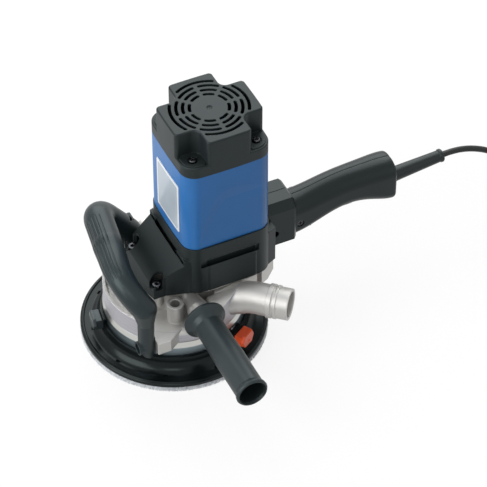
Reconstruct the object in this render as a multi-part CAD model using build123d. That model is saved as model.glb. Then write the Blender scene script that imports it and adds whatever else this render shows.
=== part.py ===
"""Renovation grinder: upright motor, offset geared head, cup wheel under a dust hood with a brush skirt.

Frame: millimetres, +Z up, z = 0 is the floor that the brush skirt stands on. The origin is on the
spindle axis. +X runs back to the rear handle, -X is the front with the bail handle, and -Y is the
side of the dust spigot and the side handle.
"""
import os
from math import cos, pi, radians, sin, tan

from build123d import *

# Driving dimensions
motor_x = 43.0                # motor axis behind the spindle axis
housing_width = 95.0          # across the blue motor housing
housing_bulge = 1.5           # how far its sides swell
housing_corner = 16.0
flat_depth = 1.0              # flat panel on each swelling side of the housing
flat_ramp = 12.0              # slope from the side down to the panel
flat_low = (-12.0, 135.0)     # leaning front edge of the panel, from below to its top corner
flat_corner = (27.2, 213.0)
housing_low = 142.7
housing_high = 238.5
shell = 3.0                   # wall of the moulded housings
cap_step = 251.0              # top of the cap's skirt, under the cross
cap_high = 280.0
cap_arm_half = 23.5
cap_wall = 2.6
cap_screw_reach = 34.0        # cap screws from the motor axis, along X and along Y
cap_pad_r = 13.0              # raised pad round each cap screw
cap_pad_inset = 2.4
cap_pad_rise = 1.1
grille_rings = ((19.5, 8, 25.0), (26.0, 8, 30.5), (32.5, 8, 33.0))   # radius, slots, degrees of each
grille_outer = (38.8, 4, 58.0)
grille_slot = 3.3
badge_y = (-28.8, 21.2)       # bare badge plate on the front
badge_z = (156.4, 217.4)

head_low = 83.0               # joint of the black head and the grey gear case
slope_top = (-5.5, 121.0)     # x and z of the sloping shoulder, top, middle and foot
slope_mid = (-25.0, 109.0)
slope_edge = (-37.0, 97.5)    # where the steep facet of the nose starts
slope_foot = (-41.5, 86.0)
side_slot = (118.9, 125.8)    # air slots, from below to above
side_slot_x = (10.0, 74.0)
side_slot_fall = 5.0          # how far a slot's floor falls inward
front_slot = (122.3, 127.6)
front_slot_y = (-23.0, 28.0)
front_slot_fall = 7.0
slot_depth = 4.8
fan_room_r = 41.0
baffle = 2.0                  # upright sheets behind the air slots, and where the side ones stand
baffle_y = 43.0
baffle_low = 100.0
nose_x = -41.5
nose_half = 36.5
head_half = 48.5
head_rear_x = 98.0
head_rear_half = 36.0
nose_screw_x = -31.0
nose_screw_y = 30.0
nose_pocket_r = 7.4

case_low = 60.0               # floor of the gear case, top of the dust hood
case_half = 39.0
flange_depth = 3.4            # rim of the gear case under the black head
nose_bearing_r = 28.0
nose_bearing_low = 34.0

hood_r = 72.2
hood_low = 45.0
hood_wall = 4.2
hood_shoulder = 7.0           # round edge of the drum
front_wall = (125.0, 222.0, 68.0)   # raised wall at the front: from and to degrees, height
collar_r = 73.2               # steel collar under the hood
collar_low = 24.5
collar_high = 43.8
lug_low = 45.5
lug_face_x = -50.5            # where the bail's near leg is bolted on
boss_x = -19.4                # upright tube boss
boss_y = -48.2
boss_r = 8.5
boss_bore_r = 5.2
boss_high = 81.0

duct_r = 16.5
duct_bore_r = 13.8
duct_route = ((30.0, -44.0, 60.0), (58.0, -60.0, 67.5), (89.5, -88.8, 68.3))
duct_bend_r = 60.0
spigot_ridges = ((22.5, 17.8, 5.0), (15.0, 17.5, 2.6))   # start back from the end, radius, length
scroll_start = (14.0, -57.5, 59.5)   # rounded roof that leads along the drum into the duct
scroll_end = (50.0, -57.5, 65.5)
scroll_wall = 3.2

skirt_r = 97.0
skirt_inner_r = 73.7
lip_r = 68.0
rim_low = 5.6
strip_count = 5
strands_per_row = 42
strand_rows = (92.4, 95.0)
strand_side = 1.5
slot_count = 10
slot_r = 85.5

catch_z = 28.0
catch_pin_r = 2.5
catch_half = 8.4              # half width of its bar, and its height over the pin
catch_rise = 6.0
front_catch = (171.0, 76.7, 77.1, 87.5)   # angle, end of its boss, start and end of its grip
side_catch = (301.0, 80.2, 80.6, 92.4)

module = 1.0
gear_teeth = 66
pinion_teeth = 20
gear_low = 68.0
gear_high = 81.0
wheel_r = 62.5
wheel_face = 1.5              # grinding face above the brush tips
segment_count = 18

bail_turn = 9.5               # degrees that the bail is set round from the front
bail_forward = 66.0
bail_near = 58.8              # from the middle to the near and to the far corner
bail_far = 51.4
bail_z = 129.0
leg_forward = 47.0
leg_side = 72.9
leg_top = 103.9
leg_low = 40.0
bail_r = 15.2
knee_r = 12.8                 # the bar is thinner where the leg starts
taper_length = 90.0           # of bar from the knee to its full thickness
taper_steps = 6
ball_inset = 0.05             # balls at the bar's ends are a hair smaller than the bar
bail_bends = (38.0, 16.0)        # near and far corner
bail_end = (-25.0, 57.0, 91.0)   # far end of the bail, above its foot on the hood
foot_r = 9.0
foot_shift = 2.5              # the foot stands a little inward of the bolt
bail_bolt_z = 52.5
groove_count = 6              # grooves along the bar, from its top to its front
groove_first = 4.0
groove_step = 15.0
groove_r = 0.85
groove_steps = 14

side_x = 0.5
side_z = 74.0
side_in = -72.7               # where the side handle's flange meets its boss
side_out = -186.0
side_flange_r = 22.0
side_grip_r = 15.2

grip_end_x = 247.0
sleeve_length = 70.0
sleeve_tilt = 4.7             # degrees that the sleeve points up
sleeve_end = (309.0, 0.0, 112.5)

cord_r = 3.25
coil_x = 482.0
coil_inner_r = 24.5
coil_step = 8.0               # from turn to turn
coil_rise = 7.2               # from layer to layer
coil_half_turns = 7           # in each layer
coil_layers = 4
coil_low = 4.3                # centre of the lowest layer, above the tie's band
coil_top = coil_low + (coil_layers - 1) * coil_rise
lead_route = (sleeve_end, (321.96, 0.0, 113.57), (344.0, 0.0, 108.4), (368.5, 0.0, 95.0), (388.5, 0.0, 73.5),
              (407.0, 0.0, 51.5), (428.5, 0.0, 34.5), (453.0, 0.0, coil_top), (475.5, 0.0, coil_top))
tie_band = 0.8
tie_width = 12.0
tail_rise = 7.0               # the tail climbs to the plug's axis
plug_relief_x = 400.0
plug_body_x = 379.0
plug_face_x = 342.0
pin_r = 2.4
pin_spacing = 19.0
pin_length = 19.0

running = 0.05                # radial clearance of a shaft in its bearing
seat = 0.05                   # radial clearance of a piece on its seat


# Small shared shapes
def disc(radius, low, high, x=0.0, y=0.0):
    """Upright cylinder between two heights."""
    return Pos(x, y, low) * Cylinder(radius, high - low, align=(Align.CENTER, Align.CENTER, Align.MIN))


def ring(outer, inner, low, high, x=0.0, y=0.0):
    """Upright tube between two heights."""
    return disc(outer, low, high, x, y) - disc(inner, low - 1, high + 1, x, y)


def block(x_low, x_high, y_low, y_high, z_low, z_high):
    """Box between two corners."""
    size = Box(x_high - x_low, y_high - y_low, z_high - z_low, align=(Align.MIN, Align.MIN, Align.MIN))
    return Pos(x_low, y_low, z_low) * size


def prism(points, low, high):
    """Upright prism on a plan outline."""
    return extrude(Plane.XY.offset(low) * make_face(Polyline(*points, close=True)), high - low)


def turned(points, x=0.0, y=0.0):
    """Solid of revolution about an upright axis, from points of radius and height."""
    outline = Polyline(*[(r, 0, z) for r, z in points], close=True)
    return Pos(x, y, 0) * revolve(make_face(outline), Axis.Z)


def rod(start, end, radius):
    """Round bar between two points."""
    along = Vector(*end) - Vector(*start)
    face = Plane(origin=start, z_dir=along) * Circle(radius)
    return extrude(face, along.length)


def polar(radius, angle):
    """Plan point at a radius and an angle in degrees."""
    return radius * cos(radians(angle)), radius * sin(radians(angle))


def group(solids):
    """Several separate solids in one node."""
    return Compound(children=list(solids))


def mirrored_outline(points):
    """Closed plan outline from the points of its -Y half, front to back."""
    return list(points) + [(x, -y) for x, y in reversed(points)]


# Motor: housing, cap and what is inside
def housing_face(inset):
    """Plan of the motor housing: a square with swelling sides and round corners."""
    half = housing_width / 2 - inset
    corner = half - housing_bulge
    sides = [
        ThreePointArc((-corner, -corner), (0, -half), (corner, -corner)),
        ThreePointArc((corner, -corner), (half, 0), (corner, corner)),
        ThreePointArc((corner, corner), (0, half), (-corner, corner)),
        ThreePointArc((-corner, corner), (-half, 0), (-corner, -corner)),
    ]
    face = make_face(sides)
    return fillet(face.vertices(), housing_corner - inset)


spider_low, spider_high = 227.0, 238.0   # arms that carry the upper motor bearing
commutator_low, commutator_high = 215.5, 226.3
brush_z = 221.0
bearing_seat_r = 11.0
stack_low, stack_high = 152.0, 207.0     # laminated cores
bore_r = 25.6
armature_r = 24.6


def cap_screw_points():
    """Cap screws in plan."""
    reach = cap_screw_reach
    return [(motor_x + i * reach, j * reach) for i in (-1, 1) for j in (-1, 1)]


def side_flat(side):
    """Cutter for the flat panel on a side, with a wide slope along its front and its top."""
    sections = []
    for depth in (-flat_depth, flat_depth):
        ramp = flat_ramp * depth
        low = (flat_low[0] + 1.12 * ramp, flat_low[1])
        corner = (flat_corner[0] + 0.62 * ramp, flat_corner[1] - ramp)
        back = (motor_x + housing_width, corner[1])
        edge = FilletPolyline(low, corner, back, radius=24.0 - ramp / 2)
        rest = Polyline(back, (back[0], low[1]), low)
        plane = Plane(origin=(0, side * (housing_width / 2 - depth), 0), x_dir=(1, 0, 0), z_dir=(0, -1, 0))
        sections.append(plane * make_face(edge + rest))
    return loft(sections)


def motor_housing():
    outer = extrude(Pos(motor_x, 0, housing_low) * housing_face(0), housing_high - housing_low)
    inner = extrude(Pos(motor_x, 0, housing_low - 1) * housing_face(shell), housing_high - housing_low + 2)
    body = outer - inner - side_flat(-1) - side_flat(1)
    hub = disc(bearing_seat_r + 3.5, spider_low, spider_high, motor_x)
    for angle in (45, 135, 225, 315):
        arm = block(bearing_seat_r, housing_width, -2.5, 2.5, spider_low, spider_high)
        hub += Pos(motor_x, 0, 0) * Rot(0, 0, angle) * arm
    hub -= disc(bearing_seat_r + seat, spider_low + 2, spider_high + 1, motor_x)
    hub -= disc(bearing_seat_r - 4.5, spider_low - 1, spider_high, motor_x)
    body += hub & extrude(Pos(motor_x, 0, spider_low - 1) * housing_face(shell / 2), 20)
    for x, y in cap_screw_points():
        body += disc(5.0, stack_high + 2, housing_high, x, y)
        body -= disc(2.1, stack_high + 3, housing_high + 1, x, y)
    return body


def cross_face(inset, inner_fillet, outer_fillet):
    """Plan of the cap's cross, flush with the housing, with round inner and outer corners."""
    arm_half = cap_arm_half - inset
    long, wide = 2 * housing_width, 2 * arm_half
    cross = Rectangle(long, wide) + Rectangle(wide, long)
    inner = [v for v in cross.vertices() if max(abs(v.X), abs(v.Y)) < housing_width / 2]
    cross = fillet(inner, inner_fillet) & housing_face(inset)
    outer = [v for v in cross.vertices() if max(abs(v.X), abs(v.Y)) > housing_width / 2 - inset - 3]
    return fillet(outer, outer_fillet)


def arc_slot(radius, middle, sweep_angle, width, low, high):
    """Curved slot about the motor axis, cut from one height to another."""
    line = CenterArc((0, 0), radius, middle - sweep_angle / 2, sweep_angle)
    return extrude(Pos(motor_x, 0, low) * SlotArc(line, width), high - low)


def motor_cap():
    base = extrude(Pos(motor_x, 0, housing_high) * housing_face(0), cap_step - housing_high)
    base = fillet(base.faces().sort_by(Axis.Z)[-1].edges(), 1.2)
    cross = extrude(Pos(motor_x, 0, housing_high) * cross_face(0, 8.0, 4.0), cap_high - housing_high)
    cross = fillet(cross.faces().sort_by(Axis.Z)[-1].edges(), 1.8)
    body = base + cross
    pad_bounds = extrude(Pos(motor_x, 0, cap_step - 1) * housing_face(cap_pad_inset), 20)
    for x, y in cap_screw_points():
        body += disc(cap_pad_r, cap_step - 0.5, cap_step + cap_pad_rise, x, y) & pad_bounds
        body -= disc(5.2, cap_step, cap_step + 5, x, y)
        body -= disc(2.3, housing_high - 1, cap_step + 1, x, y)
    room = cross_face(cap_wall, 8.0 + cap_wall, 2.0)
    body -= extrude(Pos(motor_x, 0, housing_high - 1) * room, cap_high - cap_wall - housing_high + 1)
    body -= disc(26.0, housing_high - 1, housing_high + 7.5, motor_x)
    for radius, count, sweep_angle in grille_rings:
        for i in range(count):
            middle = 360 / count * (i + 0.5)
            body -= arc_slot(radius, middle, sweep_angle, grille_slot, cap_high - 5, cap_high + 1)
    radius, count, sweep_angle = grille_outer
    for i in range(count):
        body -= arc_slot(radius, 360 / count * i, sweep_angle, grille_slot, cap_high - 5, cap_high + 1)
    return body - Pos(motor_x, 0, cap_high + 3.4) * Sphere(4.6)


def cap_screws():
    screws = []
    for x, y in cap_screw_points():
        head = fillet(disc(3.9, cap_step, cap_step + 2.8, x, y).edges().sort_by(Axis.Z)[-1], 1.2)
        screw = head + disc(2.0, 212.0, cap_step + 0.5, x, y)
        for angle in (0, 90):
            screw -= Pos(x, y, cap_step + 2.6) * Rot(0, 0, angle) * Box(4.4, 0.9, 2.0)
        screws.append(screw)
    return group(screws)


def badge_plate():
    low, high = badge_z
    front = motor_x - housing_width / 2
    skin = extrude(Pos(motor_x, 0, low) * housing_face(-0.9), high - low)
    skin -= extrude(Pos(motor_x, 0, low - 1) * housing_face(-0.1), high - low + 2)
    plate = skin & block(front - 5, front + 5, badge_y[0], badge_y[1], low, high)
    return fillet(plate.edges().filter_by(Axis.X), 2.0)


def stator_core():
    core = block(motor_x - 43.5, motor_x + 43.5, -33, 33, stack_low, stack_high)
    core = chamfer(core.edges().filter_by(Axis.Z), 9.0)
    core -= disc(bore_r, stack_low - 1, stack_high + 1, motor_x)
    for side in (-1, 1):
        for y in (-1, 1):
            core -= Pos(motor_x + side * 24.0, y * 22.5, (stack_low + stack_high) / 2) * Box(13, 11, 80)
    return core


def field_coils():
    coils = []
    for side in (-1, 1):
        outer = RectangleRounded(52.0, stack_high - stack_low + 20, 12.0)
        inner = RectangleRounded(37.0, stack_high - stack_low + 2, 5.0)
        plane = Plane(origin=(motor_x + side * 29.5 - 4.5, 0, (stack_low + stack_high) / 2),
                      x_dir=(0, 1, 0), z_dir=(1, 0, 0))
        loop = extrude(plane * (outer - inner), 9.0)
        window = group([block(motor_x - 60, motor_x + 60, -60, 60, stack_high, 240),
                        block(motor_x - 60, motor_x + 60, -60, 60, 120, stack_low)])
        for y in (-1, 1):
            leg = Pos(motor_x + side * 24.0, y * 22.5, (stack_low + stack_high) / 2) * Box(12.4, 10.4, 100)
            window += leg
        loop = loop & window
        loop -= disc(bore_r + 1, 100, 300, motor_x)
        coils.append(loop.solids().sort_by(SortBy.VOLUME)[-1])
    return group(coils)


def brush_holders():
    holders = []
    for side in (-1, 1):
        tube = Box(10.0, 24.9, 14.0) - Box(6.6, 40.0, 10.6)
        holders.append(Pos(motor_x, side * 31.95, brush_z) * tube)
    return group(holders)


def carbon_brushes():
    brushes = []
    for side in (-1, 1):
        bar = Pos(motor_x, side * 24.4, brush_z) * Box(6.3, 15.0, 10.3)
        brushes.append(bar - disc(17.4, 200, 240, motor_x))
    return group(brushes)


def bearing(outer, bore, low, high, x):
    """Ball bearing: rings with a recessed shield between them."""
    body = ring(outer, bore, low, high, x)
    middle = (outer + bore) / 2
    width = (outer - bore) * 0.22
    for z in (low, high):
        body -= ring(middle + width, middle - width, z - 0.8, z + 0.8, x)
    return body


def upper_motor_bearing():
    return bearing(11.0, 4.0 + running, spider_low + 2.2, spider_low + 9.2, motor_x)


def lower_motor_bearing():
    return bearing(17.5, 7.5 + running, 93.0, 104.0, motor_x)


def armature_shaft():
    shoulder, top = spider_low - 0.5, spider_high - 0.5
    return turned([(0, 66), (5.4, 66), (5.4, 82.0), (7.5, 83.0), (7.5, 106), (6.5, 106), (6.5, shoulder),
                   (4.0, shoulder), (4.0, top), (0, top)], motor_x)


def armature_core():
    core = ring(armature_r, 6.5 + seat, stack_low, stack_high, motor_x)
    for i in range(14):
        x, y = polar(armature_r, 360 / 14 * i)
        slot = Pos(motor_x + x, y, (stack_low + stack_high) / 2) * Rot(0, 0, 360 / 14 * i) * Box(3.0, 2.2, 80)
        core -= slot
    return core


def armature_windings():
    low = turned([(6.6, 141.5), (14, 140), (21, 143), (22.8, 151.9), (6.6, 151.9)], motor_x)
    high = turned([(6.6, 207.1), (22.8, 207.1), (21, 212), (15, 215), (6.6, 215)], motor_x)
    return group([low, high])


def commutator():
    body = ring(17.0, 6.5 + seat, commutator_low, commutator_high, motor_x)
    for i in range(28):
        x, y = polar(17.0, 360 / 28 * i)
        body -= Pos(motor_x + x, y, commutator_high - 4) * Rot(0, 0, 360 / 28 * i) * Box(1.6, 0.6, 12)
    return body


def cooling_fan():
    hub = turned([(6.55, 119), (11, 119), (39, 124), (39, 125.8), (11, 127), (10, 135), (6.55, 135)], motor_x)
    for i in range(11):
        blade = block(10.0, 39.0, -1.0, 1.0, 121.5, 134.5)
        blade -= turned([(6, 118), (11, 118), (39.5, 123.2), (39.5, 100), (6, 100)])
        hub += Pos(motor_x, 0, 0) * Rot(0, 0, 360 / 11 * i) * blade
    return hub


# Gear train and spindle
def gear_face(teeth, turn):
    """Spur gear outline with straight-flanked teeth, slightly thinned for backlash."""
    pitch = module * teeth / 2
    root, tip = pitch - 1.2 * module, pitch + 0.85 * module
    step = 2 * pi / teeth
    root_half, pitch_half, tip_half = 0.33 * step, 0.225 * step, 0.10 * step
    points = []
    for i in range(teeth):
        middle = radians(turn) + step * i
        for radius, offset in ((root, -root_half), (pitch, -pitch_half), (tip, -tip_half),
                               (tip, tip_half), (pitch, pitch_half), (root, root_half)):
            points.append((radius * cos(middle + offset), radius * sin(middle + offset)))
    return make_face(Polyline(*points, close=True))


def drive_pinion():
    body = extrude(Pos(motor_x, 0, gear_low - 0.5) * gear_face(pinion_teeth, 180 / pinion_teeth),
                   gear_high - gear_low + 1)
    return body - disc(5.4 + seat, 60, 90, motor_x)


def drive_gear():
    body = extrude(Pos(0, 0, gear_low) * gear_face(gear_teeth, 0), gear_high - gear_low)
    for low, high in ((gear_low - 1, gear_low + 3.0), (gear_high - 3.0, gear_high + 1)):
        body -= ring(27.0, 15.0, low, high)
    return body - disc(9.0 + seat, 60, 90)


def spindle():
    return turned([(0, 7.5), (6.2, 7.5), (7.0, 8.3), (7.0, 27.0), (8.0, 27.0), (8.0, 41.8), (8.5, 41.8),
                   (8.5, 54.0), (9.9, 54.0), (9.9, 67.8), (9.0, 67.8), (9.0, 86.5), (6.0, 86.5),
                   (6.0, 97.5), (0, 97.5)])


def wheel_flange():
    return turned([(7.0 + seat, 18.5), (11.0, 18.5), (11.0, 22.0), (21.0, 22.0), (21.0, 26.0), (13.0, 29.5),
                   (8.0 + seat, 29.5), (8.0 + seat, 26.9), (7.0 + seat, 26.9)])


def cup_wheel():
    body = turned([(11.1, 17.5), (24, 17.5), (46, 8.5), (wheel_r, 8.5), (wheel_r, 12.0), (49, 12.6),
                   (27, 22.0), (11.1, 22.0)])
    for i in range(8):
        x, y = polar(35.5, 45 * i + 22.5)
        body -= disc(4.5, 5, 30, x, y)
    return body


def diamond_segments():
    segments = []
    for i in range(segment_count):
        middle = 360 / segment_count * i
        arc = CenterArc((0, 0), 57.0, middle - 6.5, 13.0)
        face = SlotArc(arc, 10.0)
        wedge = prism([(0, 0), polar(90, middle - 7.5), polar(90, middle + 7.5)], 0, 10)
        segments.append(extrude(Pos(0, 0, wheel_face) * face, 8.5 - wheel_face) & wedge)
    return group(segments)


def clamp_nut():
    body = turned([(7.0 + seat, 10.0), (15.0, 10.0), (17.0, 12.0), (17.0, 17.4), (7.0 + seat, 17.4)])
    for i in range(4):
        x, y = polar(11.5, 90 * i + 45)
        body -= disc(2.0, 9, 14, x, y)
    return body


def upper_spindle_bearing():
    return bearing(16.0, 6.0 + running, 88.0, 97.0, 0)


def lower_spindle_bearing():
    return bearing(20.0, 8.5 + running, 42.0, 53.9, 0)


def bearing_retainer():
    return turned([(13.0, 35.5), (19.9, 35.5), (19.9, 41.9), (17.5, 41.9), (17.5, 39.5), (13.0, 39.5)])


def spindle_seal():
    return turned([(8.0 + running, 36.0), (12.9, 36.0), (12.9, 39.4), (10.0, 39.4), (8.0 + running, 38.0)])


# Castings and the black head
head_half_outline = ((-37.0, -nose_half), (-24.0, -nose_half), (13.0, -head_half + 1.2), (20.0, -head_half),
                     (70.0, -head_half), (head_rear_x, -head_rear_half))
flange_half_outline = ((-35.5, -34.5), (-24.0, -34.5), (13.0, -45.3), (20.0, -46.5),
                       (69.5, -46.5), (96.5, -34.8))
case_half_outline = ((-34.0, -31.5), (-24.0, -32.5), (-8.0, -case_half), (76.0, -case_half),
                     (80.0, -42.5), (96.5, -34.8))


def head_face(inset):
    """Plan of the black head: rounded nose, full width at the motor, narrowing to the rear handle."""
    near = [(x, y) for x, y in head_half_outline]
    far = [(x, -y) for x, y in reversed(near)]
    side = Polyline(*near)
    rear = Line(near[-1], far[0])
    back = Polyline(*far)
    front = ThreePointArc(far[-1], (nose_x, 0), near[0])
    face = make_face([side, rear, back, front])
    return offset(face, -inset) if inset else face


def slope_cutter(drop):
    """Everything above the sloping shoulder, lowered by a wall's thickness for the inside."""
    top, mid, edge, foot = [(x, 0, z - drop) for x, z in (slope_top, slope_mid, slope_edge, slope_foot)]
    arc = ThreePointArc(top, mid, edge)
    frame = Polyline(edge, foot, (nose_x - 20, 0, foot[2] - 8), (nose_x - 20, 0, 200), (top[0], 0, 200), top)
    return extrude(make_face([arc, frame]), 120, both=True)


def slot_face(outer, inner, heights, fall):
    """Section of an air slot, from the outside in, with a floor that falls inward."""
    low, high = heights
    return make_face(Polyline((outer, low), (outer, high), (inner, high), (inner, low - fall), close=True))


def fan_housing():
    rim = extrude(Pos(motor_x, 0, head_low) * housing_face(-1.0), housing_low - head_low)
    body = extrude(Pos(0, 0, head_low) * head_face(0), slope_top[1] + 6 - head_low)
    body = body + rim
    body -= slope_cutter(0)
    room = extrude(Pos(0, 0, head_low - 1) * head_face(shell), slope_top[1] + 4 - head_low)
    room -= slope_cutter(shell + 0.8)
    inner_rim = extrude(Pos(motor_x, 0, head_low - 1) * housing_face(shell - 1.0), housing_low - head_low - 3)
    body -= room
    body -= inner_rim
    fan_room = disc(fan_room_r, head_low, housing_low + 1, motor_x)
    body -= fan_room
    stub = block(motor_x + 40, head_rear_x, -24.0, 24.0, 118.0, 139.0)
    stub -= fan_room
    body += chamfer(stub.edges().filter_by(Axis.X).sort_by(Axis.Z)[-2:], 5.0)
    plane = Plane(origin=(side_slot_x[0], 0, 0), x_dir=(0, 1, 0), z_dir=(1, 0, 0))
    outer = housing_width / 2 + 2.5
    louvre = extrude(plane * slot_face(outer, outer - slot_depth, side_slot, side_slot_fall),
                     side_slot_x[1] - side_slot_x[0])
    body = body - louvre - mirror(louvre, Plane.XZ)
    plane = Plane(origin=(0, front_slot_y[1], 0), x_dir=(1, 0, 0), z_dir=(0, -1, 0))
    front = motor_x - housing_width / 2
    body -= extrude(plane * slot_face(front - 3, front + 3, front_slot, front_slot_fall),
                    front_slot_y[1] - front_slot_y[0])
    body += block(0.0, baffle, front_slot_y[0], front_slot_y[1] + 15, baffle_low, housing_low - 3)
    for side in (-1, 1):
        y = side * baffle_y
        body += block(side_slot_x[0] - 2, side_slot_x[1] + 2, y - baffle / 2, y + baffle / 2,
                      baffle_low, housing_low - 3)
        pocket = disc(nose_pocket_r, 93.0, 130.0, nose_screw_x, side * nose_screw_y)
        pillar = disc(nose_pocket_r + 1.2, head_low, 96.0, nose_screw_x, side * nose_screw_y)
        pillar -= slope_cutter(0)
        body += pillar & extrude(Pos(0, 0, head_low) * head_face(0), 60)
        body -= pocket
        body -= disc(2.6, head_low - 1, 100.0, nose_screw_x, side * nose_screw_y)
    body -= block(80.0, 120.0, -18.0, 18.0, 92.0, 116.0)
    return body


def nose_screws():
    screws = []
    for side in (-1, 1):
        x, y = nose_screw_x, side * nose_screw_y
        screw = disc(4.25, 93.0, 97.5, x, y) + disc(2.5, 72.0, 93.2, x, y)
        screw -= extrude(Pos(x, y, 95.0) * RegularPolygon(2.3, 6), 4)
        screws.append(screw)
    return group(screws)


def bearing_plate():
    face = make_face(Polyline(*mirrored_outline(flange_half_outline), close=True))
    body = extrude(Pos(0, 0, head_low) * offset(face, -3.6), 5.5)
    body += disc(20.5, head_low, 99.0)
    body += disc(22.0, head_low, 106.0, motor_x)
    body -= disc(16.0 + seat, 80, 97.1)
    body -= disc(8.0, 80, 110)
    body += ring(16.5, 8.0, 97.1, 99.0)
    body -= disc(17.5 + seat, 93.0, 107, motor_x)
    body -= disc(12.5, 80, 110, motor_x)
    body -= disc(10.5, 80, 88.0)
    for side in (-1, 1):
        body -= disc(nose_pocket_r + 2.0, 80, 100, nose_screw_x, side * nose_screw_y)
    return body


def gear_case():
    outline = mirrored_outline(case_half_outline)
    flange = mirrored_outline(flange_half_outline)
    body = prism(outline, case_low, head_low)
    body = chamfer(body.faces().sort_by(Axis.Z)[0].edges().filter_by(Axis.Y).sort_by(Axis.X)[-1], 8.0)
    body += prism(flange, head_low - flange_depth, head_low)
    body += disc(nose_bearing_r, nose_bearing_low, case_low)
    for side in (-1, 1):
        body += disc(6.5, head_low - 12.0, head_low, nose_screw_x, side * nose_screw_y)
        boss = turned([(0, case_half - 8), (8.2, case_half - 8), (8.2, 44.0), (11.3, 60.0),
                       (11.3, -side_in), (0, -side_in)])
        body += Pos(side_x, 0, side_z) * Rot(-side * 90, 0, 0) * boss
    cavity = disc(36.2, case_low + 5.5, head_low + 1) + disc(14.0, case_low + 5.5, head_low + 1, motor_x)
    cavity += block(10.0, motor_x, -13.0, 13.0, case_low + 5.5, head_low + 1)
    cavity += block(60.0, 90.0, -28.0, 28.0, case_low + 6.0, head_low - 8.0)
    body -= cavity
    body -= disc(20.0 + seat, nose_bearing_low - 1, 54.0)
    body -= disc(12.5, 50.0, 70.0)
    for side in (-1, 1):
        body -= disc(2.6, 71.0, head_low + 1, nose_screw_x, side * nose_screw_y)
        hole = Plane(origin=(side_x, side * (abs(side_in) + 1), side_z), z_dir=(0, -side, 0))
        body -= extrude(hole * Circle(6.0), 33.0)
    for x, y in hood_screw_points():
        body -= disc(2.1, case_low - 1, case_low + 5.0, x, y)
    return body


def hood_screw_points():
    return [(polar(32.0, angle)) for angle in (40, 140, 220, 320)]


def hood_screws():
    screws = []
    for x, y in hood_screw_points():
        screws.append(disc(3.8, 51.5, 55.0, x, y) + disc(2.0, 54.5, case_low + 4.5, x, y))
    return group(screws)


def bail_foot():
    """Plan point of the bail's far foot."""
    return bail_end[0], bail_end[1] - foot_shift


def hood_front_wall():
    """Raised wall along the front of the drum, with round ends."""
    first, last, high = front_wall
    wall = ring(hood_r, hood_r - 3.0, case_low - hood_shoulder, high)
    spread = [polar(2 * hood_r, first + (last - first) * i / 4) for i in range(5)]
    wall = wall & prism([(0, 0)] + spread, case_low - hood_shoulder, high)
    return fillet(wall.edges().filter_by(GeomType.LINE).group_by(Axis.Z)[-1], 6.0)


def scroll():
    """Rounded roof along the drum that leads into the duct."""
    roof = rod(scroll_start, scroll_end, duct_r)
    roof = fillet(roof.edges().sort_by(Axis.X)[0], 7.0)
    return roof & disc(hood_r, hood_low, 100)


def duct_form(path, radius):
    """Round form along the duct: a swept bend and a straight end."""
    first, bend, last = path.edges()
    form = sweep(Plane(origin=path @ 0, z_dir=path % 0) * Circle(radius), path=Wire([first, bend]))
    return form + extrude(Plane(origin=last @ 0, z_dir=last % 0) * Circle(radius), last.length)


def dust_hood():
    body = disc(hood_r, hood_low, case_low)
    body = fillet(body.edges().sort_by(Axis.Z)[-1], hood_shoulder)
    body += hood_front_wall()
    lug = [(lug_face_x, -75), (-36.5, -75), (-20, -64.5), (-20, -36), (lug_face_x, -36)]
    body += prism(lug, lug_low, case_low)
    foot_x, foot_y = bail_foot()
    body += disc(foot_r, lug_low, case_low, foot_x, foot_y)
    body += ring(boss_r, boss_bore_r, case_low - 1, boss_high, boss_x, boss_y)
    path = FilletPolyline(*duct_route, radius=duct_bend_r)
    start = Plane(origin=path @ 0, z_dir=path % 0)
    body += scroll()
    body += duct_form(path, duct_r)
    end = Plane(origin=path @ 1, z_dir=path % 1)
    for back, radius, length in spigot_ridges:
        body += extrude(end.offset(-back) * Circle(radius), length)
    body -= disc(hood_r - hood_wall, hood_low - 5, case_low - 5.0)
    hollow_start = (scroll_start[0] + 8, scroll_start[1], scroll_start[2] + 1)
    hollow = rod(hollow_start, scroll_end, duct_r - scroll_wall)
    body -= hollow & disc(hood_r - hood_wall, hood_low, 100)
    body -= duct_form(path, duct_bore_r)
    body -= extrude(start.offset(-8.0) * Circle(duct_bore_r), 8.5)
    body -= disc(nose_bearing_r + 0.4, hood_low, case_low + 1)
    flange = make_face(Polyline(*mirrored_outline(flange_half_outline), close=True))
    body -= extrude(Pos(0, 0, head_low - flange_depth - 0.4) * offset(flange, 0.4), 10.0)
    case = make_face(Polyline(*mirrored_outline(case_half_outline), close=True))
    body -= extrude(Pos(0, 0, case_low) * offset(case, 0.3), 25.0)
    body -= disc(boss_bore_r, case_low - 2.5, boss_high + 1, boss_x, boss_y)
    body += ring(collar_r - 3.0, hood_r - hood_wall, hood_low - 4.0, hood_low + 0.5)
    for x, y in hood_screw_points():
        body -= disc(2.2, 50, case_low + 1, x, y)
    x, y, z = bail_bolt_point()
    body -= rod((x, y, z), (x + 30, y, z), 3.1)
    return body - disc(3.1, case_low - 4.0, case_low + 1, bail_end[0], bail_end[1])


def catch_frame(angle):
    """Frame at a catch: local +X points out from the spindle axis."""
    return Rot(0, 0, angle)


def steel_collar():
    body = turned([(collar_r - 2.6, collar_low), (collar_r, collar_low), (collar_r, 37.5),
                   (collar_r - 1.8, collar_high), (collar_r - 2.6, collar_high)])
    for angle, boss_end, _, _ in (front_catch, side_catch):
        window = block(collar_r - 5, collar_r + 2, -3.2, 3.2, catch_z - 2.9, catch_z + 7.0)
        body -= catch_frame(angle) * window
    return body


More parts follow.
